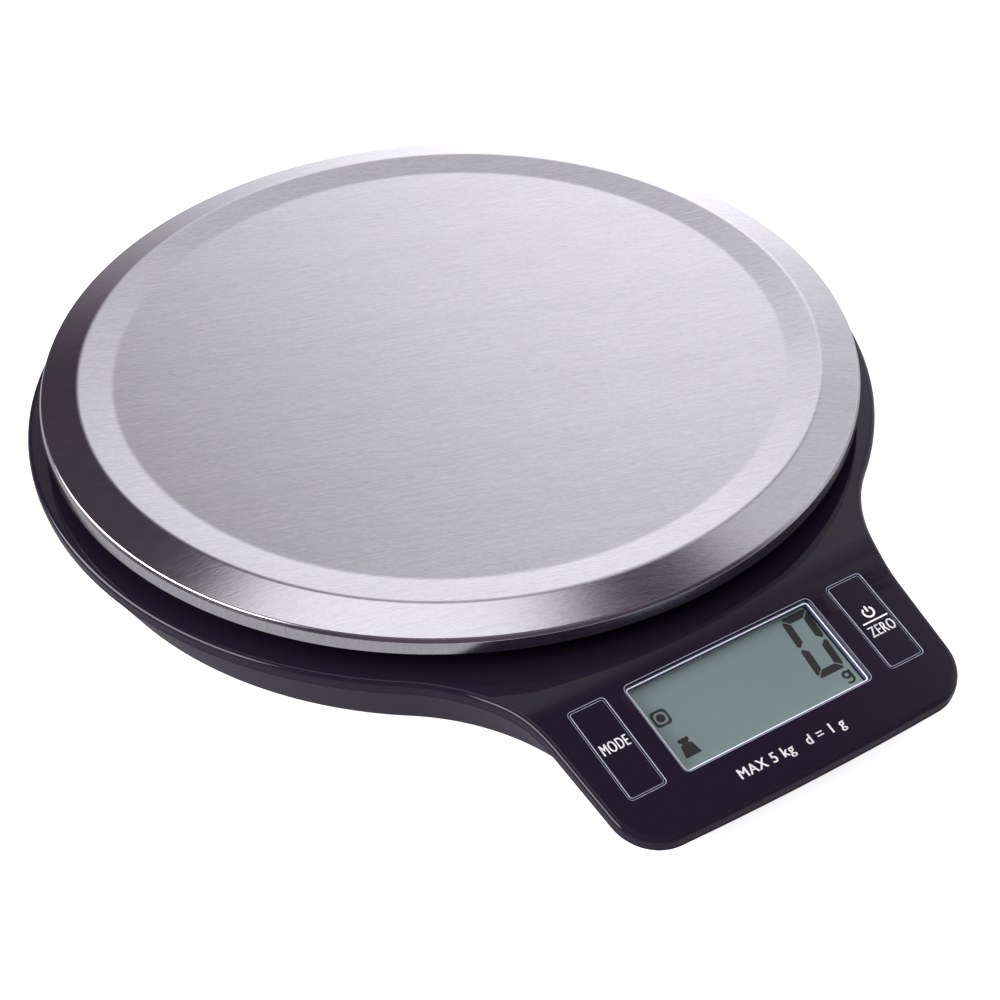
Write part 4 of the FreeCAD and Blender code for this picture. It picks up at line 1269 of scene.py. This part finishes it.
class KITCHENSCALE_OT_inner_finishes(bpy.types.Operator):
    """Finishes for the CAD nodes that show as they are"""

    bl_idname = "kitchenscale.inner_finishes"
    bl_label = "Inner finishes"

    def execute(self, context):
        black = satin_plastic("tray_black_plastic", (0.022, 0.021, 0.024), 0.42)
        ivory = satin_plastic("ivory_plastic", (0.62, 0.60, 0.54), 0.45)
        foam = soft_rubber("grey_foam", (0.07, 0.07, 0.075), 0.85)
        aluminium = bright_metal("milled_aluminium", (0.75, 0.75, 0.77), 0.34)
        nickel = bright_metal("bright_nickel", (0.70, 0.69, 0.66), 0.22)
        zinc = bright_metal("zinc_screw_metal", (0.60, 0.61, 0.64))
        wires = {"red": (0.50, 0.02, 0.02), "black": (0.012, 0.012, 0.013), "green": (0.02, 0.25, 0.06),
                 "white": (0.75, 0.75, 0.73)}
        battery_wires = ("red", "black")
        finishes = {
            "platform_tray": black, "adhesive_pads": foam, "load_cell_spacer": aluminium,
            "platform_screws": zinc, "load_cell": aluminium, "board_screws": zinc,
            "strain_gauge_covers": soft_rubber("gauge_sealant_white", (0.8, 0.8, 0.76), 0.5),
            "display_frame": ivory, "connector_strip": soft_rubber("strip_pink_rubber", (0.55, 0.30, 0.33)),
            "circuit_board": circuit_laminate("solder_mask_green"),
            "processor_blob": gloss_plastic("chip_resin", (0.01, 0.01, 0.011), 0.1),
            "board_parts": satin_plastic("chip_ceramic", (0.12, 0.09, 0.06), 0.4),
            "mode_switch_base": black, "zero_switch_base": black,
            "mode_switch_plunger": ivory, "zero_switch_plunger": ivory,
            "coin_cell_left": nickel, "coin_cell_right": nickel, "battery_contact_negative": nickel,
            "battery_contact_positive": nickel, "battery_contact_bridge": nickel, "battery_door_foam": foam,
        }
        for shade, tint in wires.items():
            insulation = soft_rubber(f"insulation_{shade}", tint, 0.45)
            finishes[f"load_cell_wire_{shade}"] = insulation
            if shade in battery_wires:
                finishes[f"battery_wire_{shade}"] = insulation
        for node, finish in finishes.items():
            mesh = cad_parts[node].data
            mesh.materials.clear()
            mesh.materials.append(finish)
        return {"FINISHED"}


class KITCHENSCALE_OT_stage(bpy.types.Operator):
    """Pale floor, soft studio surround and the camera"""

    bl_idname = "kitchenscale.stage"
    bl_label = "Stage"

    def execute(self, context):
        scale = context.scene.kitchen_scale
        self.floor(scale.stage)
        self.fill(scale.stage)
        self.surround(scale.stage)
        self.camera(scale.stage)
        bpy.context.scene.view_settings.view_transform = "Standard"
        return {"FINISHED"}

    @staticmethod
    def floor(stage):
        """Wide pale slab whose top is the ground; it does not show in gloss."""
        edge, radius = 6.0, 0.5
        plan, out = round_rectangle(edge, edge, radius)
        floor = linked("floor", new_mesh("floor", stacked(plan, out, [(0, -0.02), (0, 0)])))
        finish = Finish("pale_floor", stage.floor, 0.9, specular_ior_level=0.0)
        finish.set(emission_color=(1.0, 1.0, 1.0), emission_strength=stage.floor_glow)
        floor.data.materials.append(finish.material)
        floor.visible_glossy = False

    @staticmethod
    def fill(stage):
        """Broad soft light above the display panel that only reaches matt surfaces."""
        data = bpy.data.lights.new("fill", "AREA")
        data.shape, data.size = "DISK", 1.2
        data.energy = stage.fill
        fill = bpy.data.objects.new("fill", data)
        fill.location = (0, AXIS_Y - 0.35, 1.2)
        fill.rotation_euler.x = math.atan2(0.35, 1.2)
        fill.visible_glossy = False
        bpy.context.scene.collection.objects.link(fill)

    @staticmethod
    def surround(stage):
        """World light by bearing and height, each patch with soft edges.

        Patches: a white backdrop ahead that dims to the left and with height, a box to the right, a round
        light overhead, and a bright long box to the left.
        """
        world = bpy.data.worlds.new("soft_surround")
        bpy.context.scene.world = world
        world.use_nodes = True
        sky = Nodes(world.node_tree)
        degree = math.radians(1)
        way = sky.put("ShaderNodeTexCoord", "Generated", {}, {})
        x, y, z = way.parts()
        side = x.worked("ARCTAN2", x, y)
        rise = z.worked("ARCSINE", z)

        def across(start, end):
            return side.soft(start * degree, end * degree)

        def above(start, end):
            return rise.soft(start * degree, end * degree)

        def below(start, end):
            return 1.0 - above(start, end)

        overhead = sky.put("ShaderNodeVectorMath", "Value", {"operation": "DOT_PRODUCT"},
                           {0: way, 1: (0.021, 0.241, 0.970)})
        backdrop = across(3, 40) * (1.0 - across(38, 60) * 0.52) * (1.0 - above(25, 45) * 0.6) * 1.75
        right_box = across(55, 68) * (1.0 - across(95, 110)) * above(30, 42) * 0.4
        top_light = overhead.soft(math.cos(20 * degree), math.cos(10 * degree)) * 1.35
        key = across(-104, -94) * (1.0 - across(-33, -25)) * above(10, 16) * below(36, 44) * stage.key
        rest = (backdrop + right_box) * above(-12, -4) * below(54, 62) * (1.0 - across(105, 140))
        behind = (across(105, 130) + 1.0 - across(-130, -110)) * above(0, 20) * 0.14
        ground = below(-12, -4) * 0.48
        light = 0.06 + rest + top_light + key + behind + ground
        tint = sky.blend(light.soft(0.05, 0.5), (1.0, 0.78, 1.05), (0.97, 0.96, 1.0))
        shine = sky.put("ShaderNodeBackground", 0, {}, {"Color": tint, "Strength": light * stage.sky})
        end = sky.tree.nodes.new("ShaderNodeOutputWorld")
        sky.tree.links.new(shine.socket, end.inputs[0])

    @staticmethod
    def camera(stage):
        """Camera on its bearing, rolled, then stepped aside and up along its own directions."""
        a, e, r = stage.azimuth, stage.elevation, stage.roll
        back = Vector((math.sin(a) * math.cos(e), -math.cos(a) * math.cos(e), math.sin(e)))
        right = Vector((math.cos(a), math.sin(a), 0))
        up = back.cross(right)
        side = right * math.cos(r) + up * math.sin(r)
        above = up * math.cos(r) - right * math.sin(r)
        place = Vector((0, AXIS_Y, stage.target_z)) + back * stage.distance
        place += side * stage.aside + above * stage.upward
        data = bpy.data.cameras.new("camera")
        data.lens = stage.lens_mm
        data.sensor_width = 36.0
        data.clip_start, data.clip_end = 0.01, 50.0
        camera = bpy.data.objects.new("camera", data)
        camera.matrix_world = Matrix((
            (side.x, above.x, back.x, place.x),
            (side.y, above.y, back.y, place.y),
            (side.z, above.z, back.z, place.z),
            (0, 0, 0, 1)))
        bpy.context.scene.collection.objects.link(camera)
        bpy.context.scene.camera = camera


BUILDERS = (
    KITCHENSCALE_OT_platform,
    KITCHENSCALE_OT_upper_housing,
    KITCHENSCALE_OT_lower_housing,
    KITCHENSCALE_OT_window,
    KITCHENSCALE_OT_display,
    KITCHENSCALE_OT_buttons,
    KITCHENSCALE_OT_legends,
    KITCHENSCALE_OT_feet,
    KITCHENSCALE_OT_battery_door,
    KITCHENSCALE_OT_screws,
    KITCHENSCALE_OT_inner_finishes,
    KITCHENSCALE_OT_stage,
)


class KITCHENSCALE_PT_builders(bpy.types.Panel):
    """Lists the scale's builders"""

    bl_idname = "KITCHENSCALE_PT_builders"
    bl_label = "Kitchen Scale"
    bl_space_type = "VIEW_3D"
    bl_region_type = "UI"
    bl_category = "Kitchen Scale"

    def draw(self, context):
        for builder in BUILDERS:
            self.layout.operator(builder.bl_idname)


CLASSES = (ScaleBodySettings, ScalePlatformSettings, ScalePanelSettings, ScaleFinishSettings,
           ScaleStageSettings, ScaleSettings, *BUILDERS, KITCHENSCALE_PT_builders)


def register():
    """Adds the classes and the scene's settings."""
    for entry in CLASSES:
        bpy.utils.register_class(entry)
    bpy.types.Scene.kitchen_scale = PointerProperty(type=ScaleSettings)


def unregister():
    """Takes the settings and the classes away again."""
    del bpy.types.Scene.kitchen_scale
    for entry in reversed(CLASSES):
        bpy.utils.unregister_class(entry)


def main():
    """Runs every builder in order."""
    register()
    for builder in BUILDERS:
        group, name = builder.bl_idname.split(".")
        getattr(getattr(bpy.ops, group), name)()


if __name__ == "__main__":
    main()
